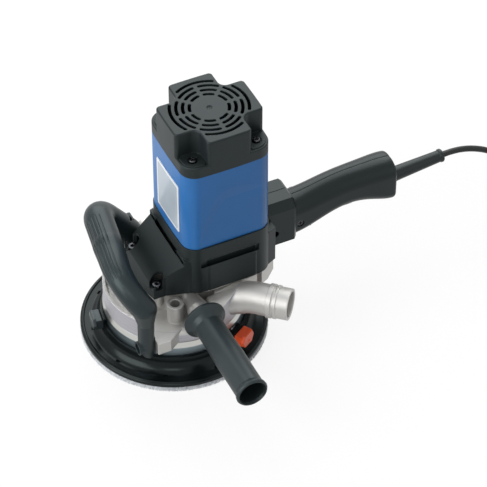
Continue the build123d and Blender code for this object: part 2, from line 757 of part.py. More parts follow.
# Floating brush skirt
def skirt_dish():
    inner, r = skirt_inner_r, skirt_r
    lines = Polyline((r - 4.6, 0, 9.8), (r - 0.8, 0, 9.8), (r, 0, 9.0), (r, 0, rim_low),
                     (r - 0.6, 0, rim_low), (r - 0.6, 0, 7.6), (r - 6.6, 0, 7.6),
                     (r - 6.6, 0, rim_low), (r - 9.0, 0, rim_low),
                     (79.5, 0, 10.0), (76.5, 0, 15.0), (lip_r, 0, 15.0), (lip_r, 0, 17.8), (inner, 0, 17.8),
                     (inner, 0, 26.5), (inner + 2.4, 0, 26.5), (inner + 3.0, 0, 21.5))
    dish_curve = ThreePointArc((inner + 3.0, 0, 21.5), (80.6, 0, 13.4), (r - 10.0, 0, 10.2))
    shoulder = Line((r - 10.0, 0, 10.2), (r - 4.6, 0, 9.8))
    body = revolve(make_face([lines, dish_curve, shoulder]), Axis.Z)
    bead = Pos(0, 0, 9.6) * Torus(r - 2.7, 1.6)
    body += bead
    for i in range(slot_count):
        middle = 24 + 360 / slot_count * i
        body -= extrude(Pos(0, 0, 8.4) * SlotArc(CenterArc((0, 0), slot_r, middle - 1.0, 2.0), 2.4), 10)
    for angle, boss_end, _, _ in (front_catch, side_catch):
        boss = block(inner - 1.0, boss_end, -catch_half, catch_half, 16.0, catch_z + catch_rise)
        boss -= disc(inner + 0.1, 0, 50)
        body += catch_frame(angle) * boss
        pin_hole = rod((inner - 4, 0, catch_z), (boss_end + 4, 0, catch_z), catch_pin_r + running)
        body -= catch_frame(angle) * pin_hole
    return body


def brush_strip(index):
    """One brush strip: a backing arc that sits in the rim's groove, with two rows of bristles."""
    span = 360 / strip_count
    gap = 1.2
    outline = CenterArc((0, 0), skirt_r - 3.6, span * index + gap / 2, span - gap)
    backing = extrude(Pos(0, 0, rim_low - 0.2) * SlotArc(outline, 5.3), 2.1)
    wedge = prism([(0, 0), polar(150, span * index + gap / 2), polar(150, span * (index + 0.5)),
                   polar(150, span * (index + 1) - gap / 2)], 0, 10)
    backing = backing & wedge
    strand = Box(strand_side, strand_side, rim_low + 0.3, align=(Align.CENTER, Align.CENTER, Align.MIN))
    strands = []
    for row, radius in enumerate(strand_rows):
        for k in range(strands_per_row):
            angle = span * index + gap + (span - 2 * gap) * (k + 0.25 + 0.5 * row) / strands_per_row
            x, y = polar(radius, angle)
            strands.append(Pos(x, y, 0) * Rot(0, 0, angle) * strand)
    return backing.fuse(*strands)


def float_springs():
    springs = []
    for i in range(8):
        x, y = polar(collar_r - 2.4, 22.5 + 45 * i)
        springs.append(ring(2.0, 1.3, 17.8, collar_low, x, y))
    return group(springs)


def catch(angle, boss_end, grip_low, grip_high):
    """Pull catch: a pin through the skirt's boss into the collar's window, a bar and a faceted plate."""
    pin = rod((collar_r - 1.2, 0, catch_z), (grip_low + 1.0, 0, catch_z), catch_pin_r)
    plate_x = grip_high - 3.4
    bar = block(grip_low, plate_x + 1, -catch_half, catch_half, catch_z - 6.0, catch_z + catch_rise)
    bar = chamfer(bar.faces().sort_by(Axis.X)[0].edges().filter_by(Axis.Y), 1.0)
    wide, tall = 10.0, 8.0
    outline = [(-wide, 0), (4 - wide, -tall), (wide - 4, -tall), (wide, 0), (wide - 3, tall),
               (3 - wide, tall)]
    plane = Plane(origin=(plate_x, 0, catch_z), x_dir=(0, 1, 0), z_dir=(1, 0, 0))
    plate = extrude(plane * make_face(Polyline(*outline, close=True)), grip_high - plate_x)
    plate = chamfer(plate.faces().sort_by(Axis.X)[-1].edges(), 0.9)
    plate -= Pos(grip_high + 1.2, 0, catch_z - 2) * Sphere(2.2)
    return catch_frame(angle) * (pin + bar + plate)


# Handles
def bail_point(forward, side, z):
    """Point in the bail's own directions, turned round from the front."""
    turn = radians(bail_turn)
    x = -forward * cos(turn) + side * sin(turn)
    y = forward * sin(turn) + side * cos(turn)
    return x, y, z


def bail_bolt_point():
    """Seat of the near leg's bolt head."""
    x, y, z = bail_point(leg_forward, -leg_side, bail_bolt_z)
    return x - 5.0, y, z


def bar_radius(along):
    """Radius of the bail's bar at a distance along it from the knee."""
    part = min(1.0, along / taper_length)
    return knee_r + (bail_r - knee_r) * (3 * part ** 2 - 2 * part ** 3)


def tapered_bar(path):
    """Bar from the knee round the near corner, which thickens along its way."""
    sections = []
    for i in range(taper_steps + 1):
        along = taper_length * i / taper_steps
        place = along / path.length
        plane = Plane(origin=path @ place, x_dir=(1, 0, 0), z_dir=path % place)
        sections.append(plane * Circle(bar_radius(along)))
    return loft(sections)


def bar_groove(path, angle, first, last):
    """One shallow groove along the bar, at an angle from its top to its front. It runs out at both ends."""
    sections = []
    for i in range(groove_steps + 1):
        along = first + (last - first) * i / groove_steps
        place = along / path.length
        heading = path % place
        up = Vector(0, 0, 1) - heading * heading.Z
        up = up.normalized()
        front = up.cross(heading)
        lift = bar_radius(along) + (1.3 if i in (0, groove_steps) else 0.25)
        point = path @ place + (up * cos(radians(angle)) + front * sin(radians(angle))) * lift
        sections.append(Plane(origin=point, x_dir=up, z_dir=heading) * Circle(groove_r))
    return loft(sections)


def bail_handle():
    knee = bail_point(leg_forward + 0.8, 1.5 - leg_side, leg_top)
    near = bail_point(bail_forward, -bail_near, bail_z)
    far = bail_point(bail_forward, bail_far, bail_z)
    whole = FilletPolyline(knee, near, far, bail_end, radius=list(bail_bends))
    body = tapered_bar(whole)
    full = whole @ (taper_length / whole.length)
    path = FilletPolyline(full, far, bail_end, radius=bail_bends[1])
    body += sweep(Plane(origin=full, x_dir=(1, 0, 0), z_dir=path % 0) * Circle(bail_r), path=path)
    crossbar_end = sum(edge.length for edge in whole.edges()[:3])
    for i in range(groove_count):
        body -= bar_groove(whole, groove_first + groove_step * i, 34.0, crossbar_end - 2)
    body += Pos(*knee) * Sphere(knee_r - ball_inset)
    body += Pos(*bail_end) * Sphere(bail_r - ball_inset)
    x, y, _ = bail_point(leg_forward, -leg_side, 0)
    top = Pos(knee[0], knee[1], leg_top - 1.3) * Circle(knee_r)
    waist = Pos(x, y, 85.0) * Ellipse(8.5, 8.3)
    ankle = Pos(x - 0.7, y, leg_low + 8) * Ellipse(8.1, 7.8)
    foot = Pos(x + 1.2, y, leg_low) * Ellipse(5.6, 6.6)
    body += loft([top, waist])
    body += loft([waist, ankle])
    body += loft([ankle, foot])
    body += block(x - 0.7, lug_face_x, y - 3.6, y + 6, leg_low + 2, 64.0)
    body -= block(lug_face_x, 0, y - 20, y + 20, leg_low - 1, case_low + 0.4)
    end_x, end_y, end_z = bail_end
    body += disc(foot_r, case_low, end_z, *bail_foot())
    pad = block(end_x - 8, end_x + 8, end_y - 2, end_y + 11, end_z, end_z + bail_r + 1)
    body += chamfer(pad.edges(), 1.2)
    bolt_x, bolt_y, bolt_z = bail_bolt_point()
    body += rod((bolt_x - 5, bolt_y, bolt_z), (bolt_x + 4, bolt_y, bolt_z), 7.4)
    body -= rod((bolt_x - 6, bolt_y, bolt_z), (bolt_x + 20, bolt_y, bolt_z), 3.15)
    body -= rod((bolt_x - 6, bolt_y, bolt_z), (bolt_x + 2.5, bolt_y, bolt_z), 5.6)
    body -= disc(3.15, case_low - 1, end_z + 20, end_x, end_y)
    body -= disc(5.6, end_z + 10, end_z + 20, end_x, end_y)
    return body


def bail_bolts():
    x, y, z = bail_bolt_point()
    near = rod((x - 1.5, y, z), (x + 2.5, y, z), 5.0) + rod((x + 2, y, z), (x + 29, y, z), 3.0)
    near -= extrude(Plane(origin=(x - 1.6, y, z), z_dir=(1, 0, 0)) * RegularPolygon(2.9, 6), 2.6)
    x, y, z = bail_end
    far = disc(5.0, z + 10, z + 14, x, y) + disc(3.0, case_low - 3.5, z + 10.5, x, y)
    far -= extrude(Pos(x, y, z + 11.5) * RegularPolygon(2.9, 6), 4.0)
    return group([near, far])


def side_grip():
    """Side handle grip, drawn along its own axis from the flange to the open end."""
    length = side_in - side_out
    edge, grip = side_flange_r, side_grip_r
    profile = [(6.1, 0), (edge - 2, 0), (edge, 2.0), (edge, 4.2), (grip + 2, 8.5), (grip - 0.5, 14.0),
               (grip - 0.5, 40.0), (grip + 0.2, 62.0), (grip, 84.0), (grip, length - 7),
               (grip + 1.2, length - 4.2), (grip + 1.5, length - 2),
               (grip + 0.6, length - 0.4), (grip - 0.8, length), (13.4, length - 3), (13.2, 40), (6.1, 36)]
    body = turned(profile)
    return Pos(side_x, side_in, side_z) * Rot(90, 0, 0) * body


def side_stud():
    body = rod((side_x, side_in + 30.0, side_z), (side_x, side_in - 39.0, side_z), 5.95)
    return body + rod((side_x, side_in - 38.3, side_z), (side_x, side_in - 43.0, side_z), 9.5)


# Rear grip: place along X, width, underside, top, and corner radius at the top and below of each section
grip_sections = ((120.0, 38.0, 86.0, 127.3, 15.0, 9.0), (150.0, 35.0, 87.5, 130.3, 16.0, 11.0),
                 (170.0, 34.5, 94.0, 134.5, 16.5, 12.0), (190.0, 34.5, 98.4, 137.2, 16.5, 12.0),
                 (210.0, 35.5, 97.0, 138.0, 16.5, 12.0), (232.0, 37.5, 90.8, 138.2, 16.5, 11.0),
                 (grip_end_x, 37.0, 88.8, 135.7, 15.0, 10.0))


def grip_form(inset, x_trim):
    """Rear grip: rounded sections along X, drawn in by a wall's thickness for the inside."""
    faces = []
    for i, (x, wide, low, high, top_corner, low_corner) in enumerate(grip_sections):
        shift = x_trim if i == len(grip_sections) - 1 else 0.0
        plane = Plane(origin=(x - shift, 0, (low + high) / 2), x_dir=(0, 1, 0), z_dir=(1, 0, 0))
        face = Rectangle(wide - 2 * inset, high - low - 2 * inset)
        corners = face.vertices().group_by(Axis.Y)
        face = fillet(corners[-1], top_corner - inset)
        face = fillet(face.vertices().group_by(Axis.Y)[0], low_corner - inset)
        faces.append(plane * face)
    return loft(faces)


block_x = 129.0
block_half = 23.5
block_low, block_high = 80.0, 139.5
seam_depth = 0.4              # groove where the two halves meet
near_screws = ((104.0, 103.0), (135.8, 100.6))
far_screws = ((141.0, 117.0), (222.0, 121.0), (228.0, 99.5))
trigger_gap = (157.0, 207.0, 8.6)     # start, end and half width of the opening under the grip
finger_stop = (152.0, 10.0, 84.0)     # end, half width and underside of the lip in front of the trigger


def sleeve_axis(back):
    """Point on the sleeve's axis, this far back from its end."""
    tilt = radians(sleeve_tilt)
    return sleeve_end[0] - back * cos(tilt), 0.0, sleeve_end[2] - back * sin(tilt)


def handle_body():
    """Both halves of the rear handle in one piece, hollow."""
    grip = grip_form(0, 0)
    grip = fillet(grip.faces().sort_by(Axis.X)[-1].edges(), 4.0)
    root = block(head_rear_x, block_x, -block_half, block_half, block_low, block_high)
    root = chamfer(root.edges().filter_by(Axis.X), 8.0)
    root = chamfer(root.faces().sort_by(Axis.X)[-1].edges(), 3.0)
    body = grip + root
    room = grip_form(shell, shell + 0.5)
    half = block_half - 3.5
    room += block(head_rear_x - 1, block_x - 3, -half, half, block_low + 7.5, block_high - 8)
    body -= room
    core = grip_form(seam_depth, seam_depth)
    core += block(head_rear_x, block_x - seam_depth, -5, 5, block_low + seam_depth, block_high - seam_depth)
    body -= block(head_rear_x, grip_end_x + 1, -0.3, 0.3, block_low - 1, block_high + 1) - core
    stop_end, stop_half, stop_low = finger_stop
    stop = block(block_x - 2, stop_end, -stop_half, stop_half, stop_low, stop_low + 5.5)
    body += chamfer(stop.edges().filter_by(Axis.X).sort_by(Axis.Z)[:2], 1.0)
    gap_low, gap_high, gap_half = trigger_gap
    body -= block(gap_low, gap_high, -gap_half, gap_half, block_low, 112.0)
    body -= rod(sleeve_axis(sleeve_length + 10), sleeve_axis(40.0), 8.4)
    for side, points in ((-1, near_screws), (1, far_screws)):
        for x, z in points:
            post = rod((x, -block_half + 2, z), (x, block_half - 2, z), 4.6)
            body += post & grip_bounds()
            body -= rod((x, -side * 11.5, z), (x, side * 40.0, z), 2.1)
            body -= rod((x, side * 14.5, z), (x, side * 40.0, z), 4.1)
    return body


def grip_bounds():
    """Outer form of the rear handle, which its screw posts stay inside."""
    half = block_half - 2.5
    root = block(head_rear_x, block_x - 2, -half, half, block_low + 9, block_high - 9)
    return grip_form(shell / 2, shell) + root


def handle_shell_near():
    return handle_body() & block(90, 270, -60, 0, 60, 160)


def handle_shell_far():
    return handle_body() & block(90, 270, 0, 60, 60, 160)


def handle_screws():
    screws = []
    for side, points in ((-1, near_screws), (1, far_screws)):
        for x, z in points:
            screw = rod((x, side * 17.0, z), (x, side * 14.5, z), 3.6)
            screw += rod((x, side * 15.0, z), (x, -side * 10.0, z), 2.0)
            plane = Plane(origin=(x, side * 17.1, z), z_dir=(0, -side, 0))
            for angle in (0, 90):
                screw -= extrude(plane * Rot(0, 0, angle) * Rectangle(4.2, 0.9), 1.4)
            screws.append(screw)
    return group(screws)


pivot_x, pivot_z = 164.0, 104.5
trigger_half = 8.0


def trigger():
    outline = [(159.5, 102.0), (159.5, 94.0), (165.0, 91.0), (172.0, 92.6), (186.0, 95.2), (199.0, 95.4),
               (204.0, 98.0), (204.0, 109.0), (190.0, 111.0), (164.0, 109.0)]
    plane = Plane(origin=(0, -trigger_half, 0), x_dir=(1, 0, 0), z_dir=(0, -1, 0))
    body = extrude(plane * make_face(Polyline(*outline, close=True)), -2 * trigger_half)
    body = fillet(body.edges().filter_by(Axis.Y).sort_by(Axis.Z)[:5], 2.0)
    return body - rod((pivot_x, -10, pivot_z), (pivot_x, 10, pivot_z), 2.0 + running)


def trigger_pin():
    return rod((pivot_x, -13.8, pivot_z), (pivot_x, 13.8, pivot_z), 2.0)


def switch_block():
    body = block(170.0, 206.0, -12.0, 12.0, 118.5, 125.5)
    body = chamfer(body.edges().filter_by(Axis.X), 2.0)
    return body + disc(2.6, 116.6, 119.0, 190.0)


def cord_clamp():
    bar = block(233.2, 238.6, -9.0, 9.0, 93.9, 102.2) - rod((220, 0, 106.2), (245, 0, 106.2), 4.6)
    return fillet(bar.edges().filter_by(Axis.Z), 1.2)


def cord_sleeve():
    length = sleeve_length
    profile = [(0, 0), (10.0, 0), (10.0, 3.0), (8.1, 3.0), (8.1, 12.0), (7.8, 16.0), (6.4, length - 4.5),
               (7.2, length - 3.5), (7.2, length - 1.1), (6.2, length), (0, length)]
    return Pos(*sleeve_axis(length)) * Rot(0, 90 - sleeve_tilt, 0) * turned(profile)


# Mains cord: a free lead, the put-away length in a tied coil, a tail and the plug
def bend_radii(points):
    """Radius of each bend: as large as its two runs leave room for."""
    radii = []
    for i in range(1, len(points) - 1):
        before = Vector(*points[i]) - Vector(*points[i - 1])
        after = Vector(*points[i + 1]) - Vector(*points[i])
        half_turn = radians(before.get_angle(after)) / 2
        radii.append(0.45 * min(before.length, after.length) / tan(half_turn))
    return radii


def cord_tube(points):
    """Round cord along a route, with its bends as large as they can be."""
    radii = bend_radii(points)
    path = FilletPolyline(*points, radius=radii)
    print("bend radii", [round(r) for r in radii], "length", round(path.length))
    return sweep(Plane(origin=path @ 0, z_dir=path % 0) * Circle(cord_r), path=path)


def coil_points():
    """Where the winding crosses the line through its centre along Y, from the top layer down."""
    outer = coil_inner_r + coil_half_turns * coil_step / 2
    center_y = -outer
    points = []
    for layer in range(coil_layers):
        z = coil_low + (coil_layers - 1 - layer) * coil_rise
        for k in range(coil_half_turns + 1):
            inward = outer - k * coil_step / 2
            outward = coil_inner_r + k * coil_step / 2
            radius = inward if layer % 2 == 0 else outward
            side = 1 if len(points) % 2 == 0 else -1
            points.append(Vector(coil_x, center_y + side * radius, z))
    return points


def coil_edges():
    """Half circles from crossing to crossing; the one between two layers is tilted."""
    points = coil_points()
    straight = Vector(2 * cord_r, 0, 0)
    edges = [Line(points[0] - straight, points[0])]
    for i, (start, end) in enumerate(zip(points, points[1:])):
        along = Vector(1, 0, 0) if i % 2 == 0 else Vector(-1, 0, 0)
        middle = (start + end) * 0.5 + along * ((end - start).length / 2)
        edges.append(ThreePointArc(start, middle, end))
    edges.append(Line(points[-1], points[-1] - straight))
    return edges


def least_coil_gap(edges):
    """Smallest clear gap between turns, measured on points along the winding."""
    steps = 16
    points = [edge @ (k / steps) for edge in edges for k in range(steps)]
    apart = 3 * steps // 2
    least = min((a - b).length for i, a in enumerate(points) for b in points[i + apart:])
    return least - 2 * cord_r


def cord_coil():
    edges = coil_edges()
    path = Wire(edges)
    print("coil length", round(path.length), "least gap", round(least_coil_gap(edges), 2))
    return sweep(Plane(origin=edges[0] @ 0, z_dir=edges[0] % 0) * Circle(cord_r), path=path)


def coil_tie():
    """Strap round the whole section of the coil, on its +X side."""
    outer = coil_inner_r + coil_half_turns * coil_step / 2
    room = 0.5
    low = coil_inner_r - cord_r - 3 * room
    high = outer + cord_r + room
    top = coil_top + cord_r + room
    bottom = tie_band
    loop = block(low - tie_band, high + tie_band, -tie_width / 2, tie_width / 2, 0, top + tie_band)
    loop = fillet(loop.edges().filter_by(Axis.Y), 1.5)
    loop -= block(low, high, -tie_width, tie_width, bottom, top)
    return Pos(coil_x, -outer, 0) * loop


def tail_route():
    end = coil_points()[-1] - Vector(2 * cord_r, 0, 0)
    x, y, z = end.X, end.Y, end.Z
    return ((x, y, z), (x - 23.0, y, z), (x - 52.0, y, z + tail_rise), (plug_relief_x, y, z + tail_rise))


def plug_section(x, wide, tall):
    """One section of the plug across its axis, with round ends."""
    _, y, z = tail_route()[-1]
    plane = Plane(origin=(x, y, z), x_dir=(0, 1, 0), z_dir=(-1, 0, 0))
    return plane * RectangleRounded(wide, tall, tall / 2 - 0.05)


def mains_plug():
    """Flat two-pin plug with its tapered strain relief."""
    relief = loft([plug_section(plug_relief_x, 9.4, 9.2), plug_section(plug_body_x, 13.0, 12.6)])
    shoulder = loft([plug_section(plug_body_x, 13.0, 12.6), plug_section(plug_body_x - 17, 34.0, 20.0)])
    front = extrude(plug_section(plug_body_x - 17, 34.0, 20.0), plug_body_x - 17 - plug_face_x)
    body = relief + shoulder + front
    return fillet(body.faces().sort_by(Axis.X)[0].edges(), 1.5)


def plug_pins():
    _, y, z = tail_route()[-1]
    pins = []
    for side in (-1, 1):
        start = (plug_face_x, y + side * pin_spacing / 2, z)
        end = (plug_face_x - pin_length, y + side * pin_spacing / 2, z)
        pins.append(fillet(rod(start, end, pin_r).edges().sort_by(Axis.X)[0], 1.2))
    return group(pins)


def cord_lead():
    return cord_tube(lead_route)


def cord_tail():
    return cord_tube(tail_route())


def nodes():
    """Every node's name and solid."""
    plain = (motor_housing, motor_cap, cap_screws, badge_plate, stator_core, field_coils, brush_holders,
             carbon_brushes, upper_motor_bearing, lower_motor_bearing, armature_shaft, armature_core,
             armature_windings, commutator, cooling_fan, drive_pinion, drive_gear, spindle, wheel_flange,
             cup_wheel, diamond_segments, clamp_nut, upper_spindle_bearing, lower_spindle_bearing,
             bearing_retainer, spindle_seal, fan_housing, nose_screws, bearing_plate, gear_case, hood_screws,
             dust_hood, steel_collar, skirt_dish, float_springs, bail_handle, bail_bolts, side_grip,
             side_stud, handle_shell_near, handle_shell_far, handle_screws, trigger, trigger_pin,
             switch_block, cord_clamp, cord_sleeve, cord_lead, cord_coil, coil_tie, cord_tail, mains_plug,
             plug_pins)
    for make in plain:
        yield make.__name__, make()
    for index in range(strip_count):
        yield f"brush_strip_{index + 1}", brush_strip(index)
    yield "front_catch", catch(*front_catch)
    yield "side_catch", catch(*side_catch)


if __name__ == "__main__":
    os.makedirs("parts", exist_ok=True)
    for name, shape in nodes():
        export_step(shape, f"parts/{name}.step")
        print(name, len(shape.solids()), round(shape.volume))
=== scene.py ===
"""Looks of the renovation grinder: finishes, bristles, mains cord and a plain studio.

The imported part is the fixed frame. The brush strips, the skirt's springs and the cord are drawn anew here,
and every other node keeps its shape and gets the finish of the real piece.
"""
import random
from math import cos, pi, radians, sin

import bmesh
import bpy
from bpy.props import FloatProperty, FloatVectorProperty, IntProperty, PointerProperty
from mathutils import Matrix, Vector


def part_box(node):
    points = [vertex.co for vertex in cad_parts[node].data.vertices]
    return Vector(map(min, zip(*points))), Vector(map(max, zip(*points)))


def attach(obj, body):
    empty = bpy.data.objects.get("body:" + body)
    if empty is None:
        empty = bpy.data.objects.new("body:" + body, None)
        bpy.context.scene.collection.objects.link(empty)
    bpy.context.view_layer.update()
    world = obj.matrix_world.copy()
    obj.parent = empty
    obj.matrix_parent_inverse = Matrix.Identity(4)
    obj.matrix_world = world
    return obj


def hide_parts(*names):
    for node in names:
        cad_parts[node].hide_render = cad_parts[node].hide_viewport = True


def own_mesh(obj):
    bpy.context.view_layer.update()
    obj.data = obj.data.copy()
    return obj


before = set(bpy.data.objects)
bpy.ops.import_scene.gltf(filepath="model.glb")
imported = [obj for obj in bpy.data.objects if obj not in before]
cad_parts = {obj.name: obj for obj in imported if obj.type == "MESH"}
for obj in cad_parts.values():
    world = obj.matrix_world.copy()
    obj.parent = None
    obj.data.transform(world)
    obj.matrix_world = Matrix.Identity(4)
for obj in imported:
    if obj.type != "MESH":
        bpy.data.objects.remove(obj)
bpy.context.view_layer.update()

bl_info = {
    "name": "Renovation grinder",
    "version": (1, 0, 0),
    "blender": (4, 5, 0),
    "location": "3D View > Sidebar > Grinder",
    "description": "Dresses the packed renovation grinder and sets it in a plain studio",
    "category": "Object",
}

MM = 0.001
A, B, MIXED = 6, 7, 2         # colour sockets of a mix node, in and out
COOL = (0.86, 1.0, 1.0, 1.0)  # sheen of the black plastics, slightly green
PLASTIC_CLOUD_MM = 45.0       # size of the slow changes of tone in a moulding
CAST_CLOUD_MM = 30.0          # and in a casting
TURNING_MM = 1.1              # from mark to mark on the hood's turned wall, drawn coarser than real
HOOD_WALL_MM = 72.2           # radius of that wall
COLLAR_BEVEL_MM = 37.5        # height at which the collar's bevel starts


def linear(hex_code):
    """Linear colour with alpha from an sRGB hex value."""
    parts = [int(hex_code[i:i + 2], 16) / 255 for i in (1, 3, 5)]
    return tuple(p / 12.92 if p <= 0.04045 else ((p + 0.055) / 1.055) ** 2.4 for p in parts) + (1.0,)


def colour(label, text, hex_code):
    """A colour that a user may change."""
    return FloatVectorProperty(name=label, description=text, size=4, min=0, max=1, subtype="COLOR",
                               default=linear(hex_code))


class GrinderColours(bpy.types.PropertyGroup):
    """Colours of the grinder's finishes."""

    blue: colour("Blue", "Moulded motor housing", "#2869A9")
    black: colour("Black", "Moulded cap, head and handles", "#1B2122")
    grip: colour("Grip black", "Bail", "#1A2224")
    side_grip: colour("Side grip", "Side handle", "#1F2628")
    dish: colour("Dish black", "Rim of the brush skirt", "#0B0F10")
    orange: colour("Orange", "Side catch", "#EE5A2C")
    # The front catch's grey is a painted highlight: a dark catch painted paler, where its face catches the
    # light.
    catch: colour("Grey", "Front catch", "#2A3133")
    casting: colour("Casting", "Gear case and dust hood", "#BDBCB9")
    plated: colour("Plated steel", "Collar under the hood", "#8E9CA2")
    plate: colour("Plate", "Bare badge plate", "#E9EAEA")
    panel: colour("Panel", "Inner field of the badge plate", "#AAB6C0")
    bristle: colour("Bristle", "Brush strips", "#D2D6DA")
    cord: colour("Cord", "Sheath of the mains cord", "#151718")


class GrinderSizes(bpy.types.PropertyGroup):
    """Sizes of the pieces that are drawn here."""

    bristle_diameter: FloatProperty(name="Bristle", description="Thickness of one bristle", default=0.9 * MM,
                                    min=0.3 * MM, max=2 * MM, unit="LENGTH")
    bristle_lean: FloatProperty(name="Lean", description="How far a bristle's tip strays", default=0.5 * MM,
                                min=0, max=1.5 * MM, unit="LENGTH")
    bristles_per_row: IntProperty(name="Per row", description="Bristles in one row of a strip", default=170,
                                  min=40, max=240)
    cord_diameter: FloatProperty(name="Cord", description="Thickness of the mains cord", default=6.5 * MM,
                                 min=4 * MM, max=10 * MM, unit="LENGTH")
    floor_side: FloatProperty(name="Floor", description="Side of the square floor", default=8.0,
                              min=2, max=30, unit="LENGTH")


# Materials
def add(tree, kind, settings=None, inputs=None):
    """Adds a node, with its settings and its inputs: a socket is linked, anything else is a value."""
    node = tree.nodes.new(kind)
    for name, value in (settings or {}).items():
        setattr(node, name, value)
    for name, value in (inputs or {}).items():
        if isinstance(value, bpy.types.NodeSocket):
            tree.links.new(value, node.inputs[name])
        else:
            node.inputs[name].default_value = value
    return node


def new_material(name):
    """A material with its node tree and its shader."""
    material = bpy.data.materials.new(name)
    material.use_nodes = True
    tree = material.node_tree
    return material, tree, tree.nodes["Principled BSDF"]


def shade(base, factor):
    """A colour made darker or lighter."""
    return tuple(min(1.0, c * factor) for c in base[:3]) + (1.0,)


def worn_and_highlit_edges(tree, radius_mm):
    """Rounded normal of the edges, and where the surface is an edge, from 0 to 1: the mask for paler edges,
    partly rubbed wear and partly a painted highlight.
    """
    round_normal = add(tree, "ShaderNodeBevel", {"samples": 6}, {"Radius": radius_mm * MM}).outputs["Normal"]
    flat_normal = add(tree, "ShaderNodeNewGeometry").outputs["Normal"]
    along = add(tree, "ShaderNodeVectorMath", {"operation": "DOT_PRODUCT"}, {0: round_normal, 1: flat_normal})
    starts, full = 0.995, 0.80    # product of the two normals where an edge starts, and where it is full
    edge = add(tree, "ShaderNodeMapRange", {}, {"Value": along.outputs["Value"], "From Min": starts,
                                               "From Max": full, "To Min": 0.0, "To Max": 1.0})
    return round_normal, edge.outputs["Result"]


def moulded(name, base, rough, grain_mm, grain_depth_mm, edge_mm=0.9, edge_light=1.9, coat=0.0, gloss=0.5,
            tint=(1.0, 1.0, 1.0, 1.0)):
    """Moulded plastic or rubber: spark-eroded grain, slow change of tone and sheen, and paler edges, partly
    rubbed wear and partly a painted highlight.
    """
    dark, pale, stray = 0.86, 1.14, 0.06    # shares of the colour, and how far the roughness strays
    material, tree, shader = new_material(name)
    place = add(tree, "ShaderNodeTexCoord").outputs["Object"]
    round_normal, edge = worn_and_highlit_edges(tree, edge_mm)
    grain = add(tree, "ShaderNodeTexNoise", {}, {"Vector": place, "Scale": 1 / (grain_mm * MM), "Detail": 3.0,
                                                "Roughness": 0.6}).outputs["Fac"]
    cloud = add(tree, "ShaderNodeTexNoise", {}, {"Vector": place, "Scale": 1 / (PLASTIC_CLOUD_MM * MM),
                                                "Detail": 4.0, "Roughness": 0.55}).outputs["Fac"]
    tone = add(tree, "ShaderNodeMix", {"data_type": "RGBA"}, {"Factor": cloud, A: shade(base, dark),
                                                              B: shade(base, pale)}).outputs[MIXED]
    # Paler edges in patches: partly rubbed wear, partly a painted highlight along the edges.
    rub_and_highlight = add(tree, "ShaderNodeMath", {"operation": "MULTIPLY"}, {0: edge, 1: cloud}).outputs[0]
    worn_and_highlit = add(tree, "ShaderNodeMix", {"data_type": "RGBA"}, {"Factor": rub_and_highlight, A: tone,
                                                              B: shade(base, edge_light)}).outputs[MIXED]
    sheen = add(tree, "ShaderNodeMapRange", {}, {"Value": cloud, "To Min": rough - stray,
                                                "To Max": rough + stray})
    bump = add(tree, "ShaderNodeBump", {}, {"Height": grain, "Distance": grain_depth_mm * MM, "Strength": 0.6,
                                           "Normal": round_normal})
    tree.links.new(worn_and_highlit, shader.inputs["Base Color"])
    tree.links.new(sheen.outputs["Result"], shader.inputs["Roughness"])
    tree.links.new(bump.outputs["Normal"], shader.inputs["Normal"])
    shader.inputs["IOR"].default_value = 1.5
    shader.inputs["Specular IOR Level"].default_value = gloss
    shader.inputs["Specular Tint"].default_value = tint
    shader.inputs["Coat Weight"].default_value = coat
    return material


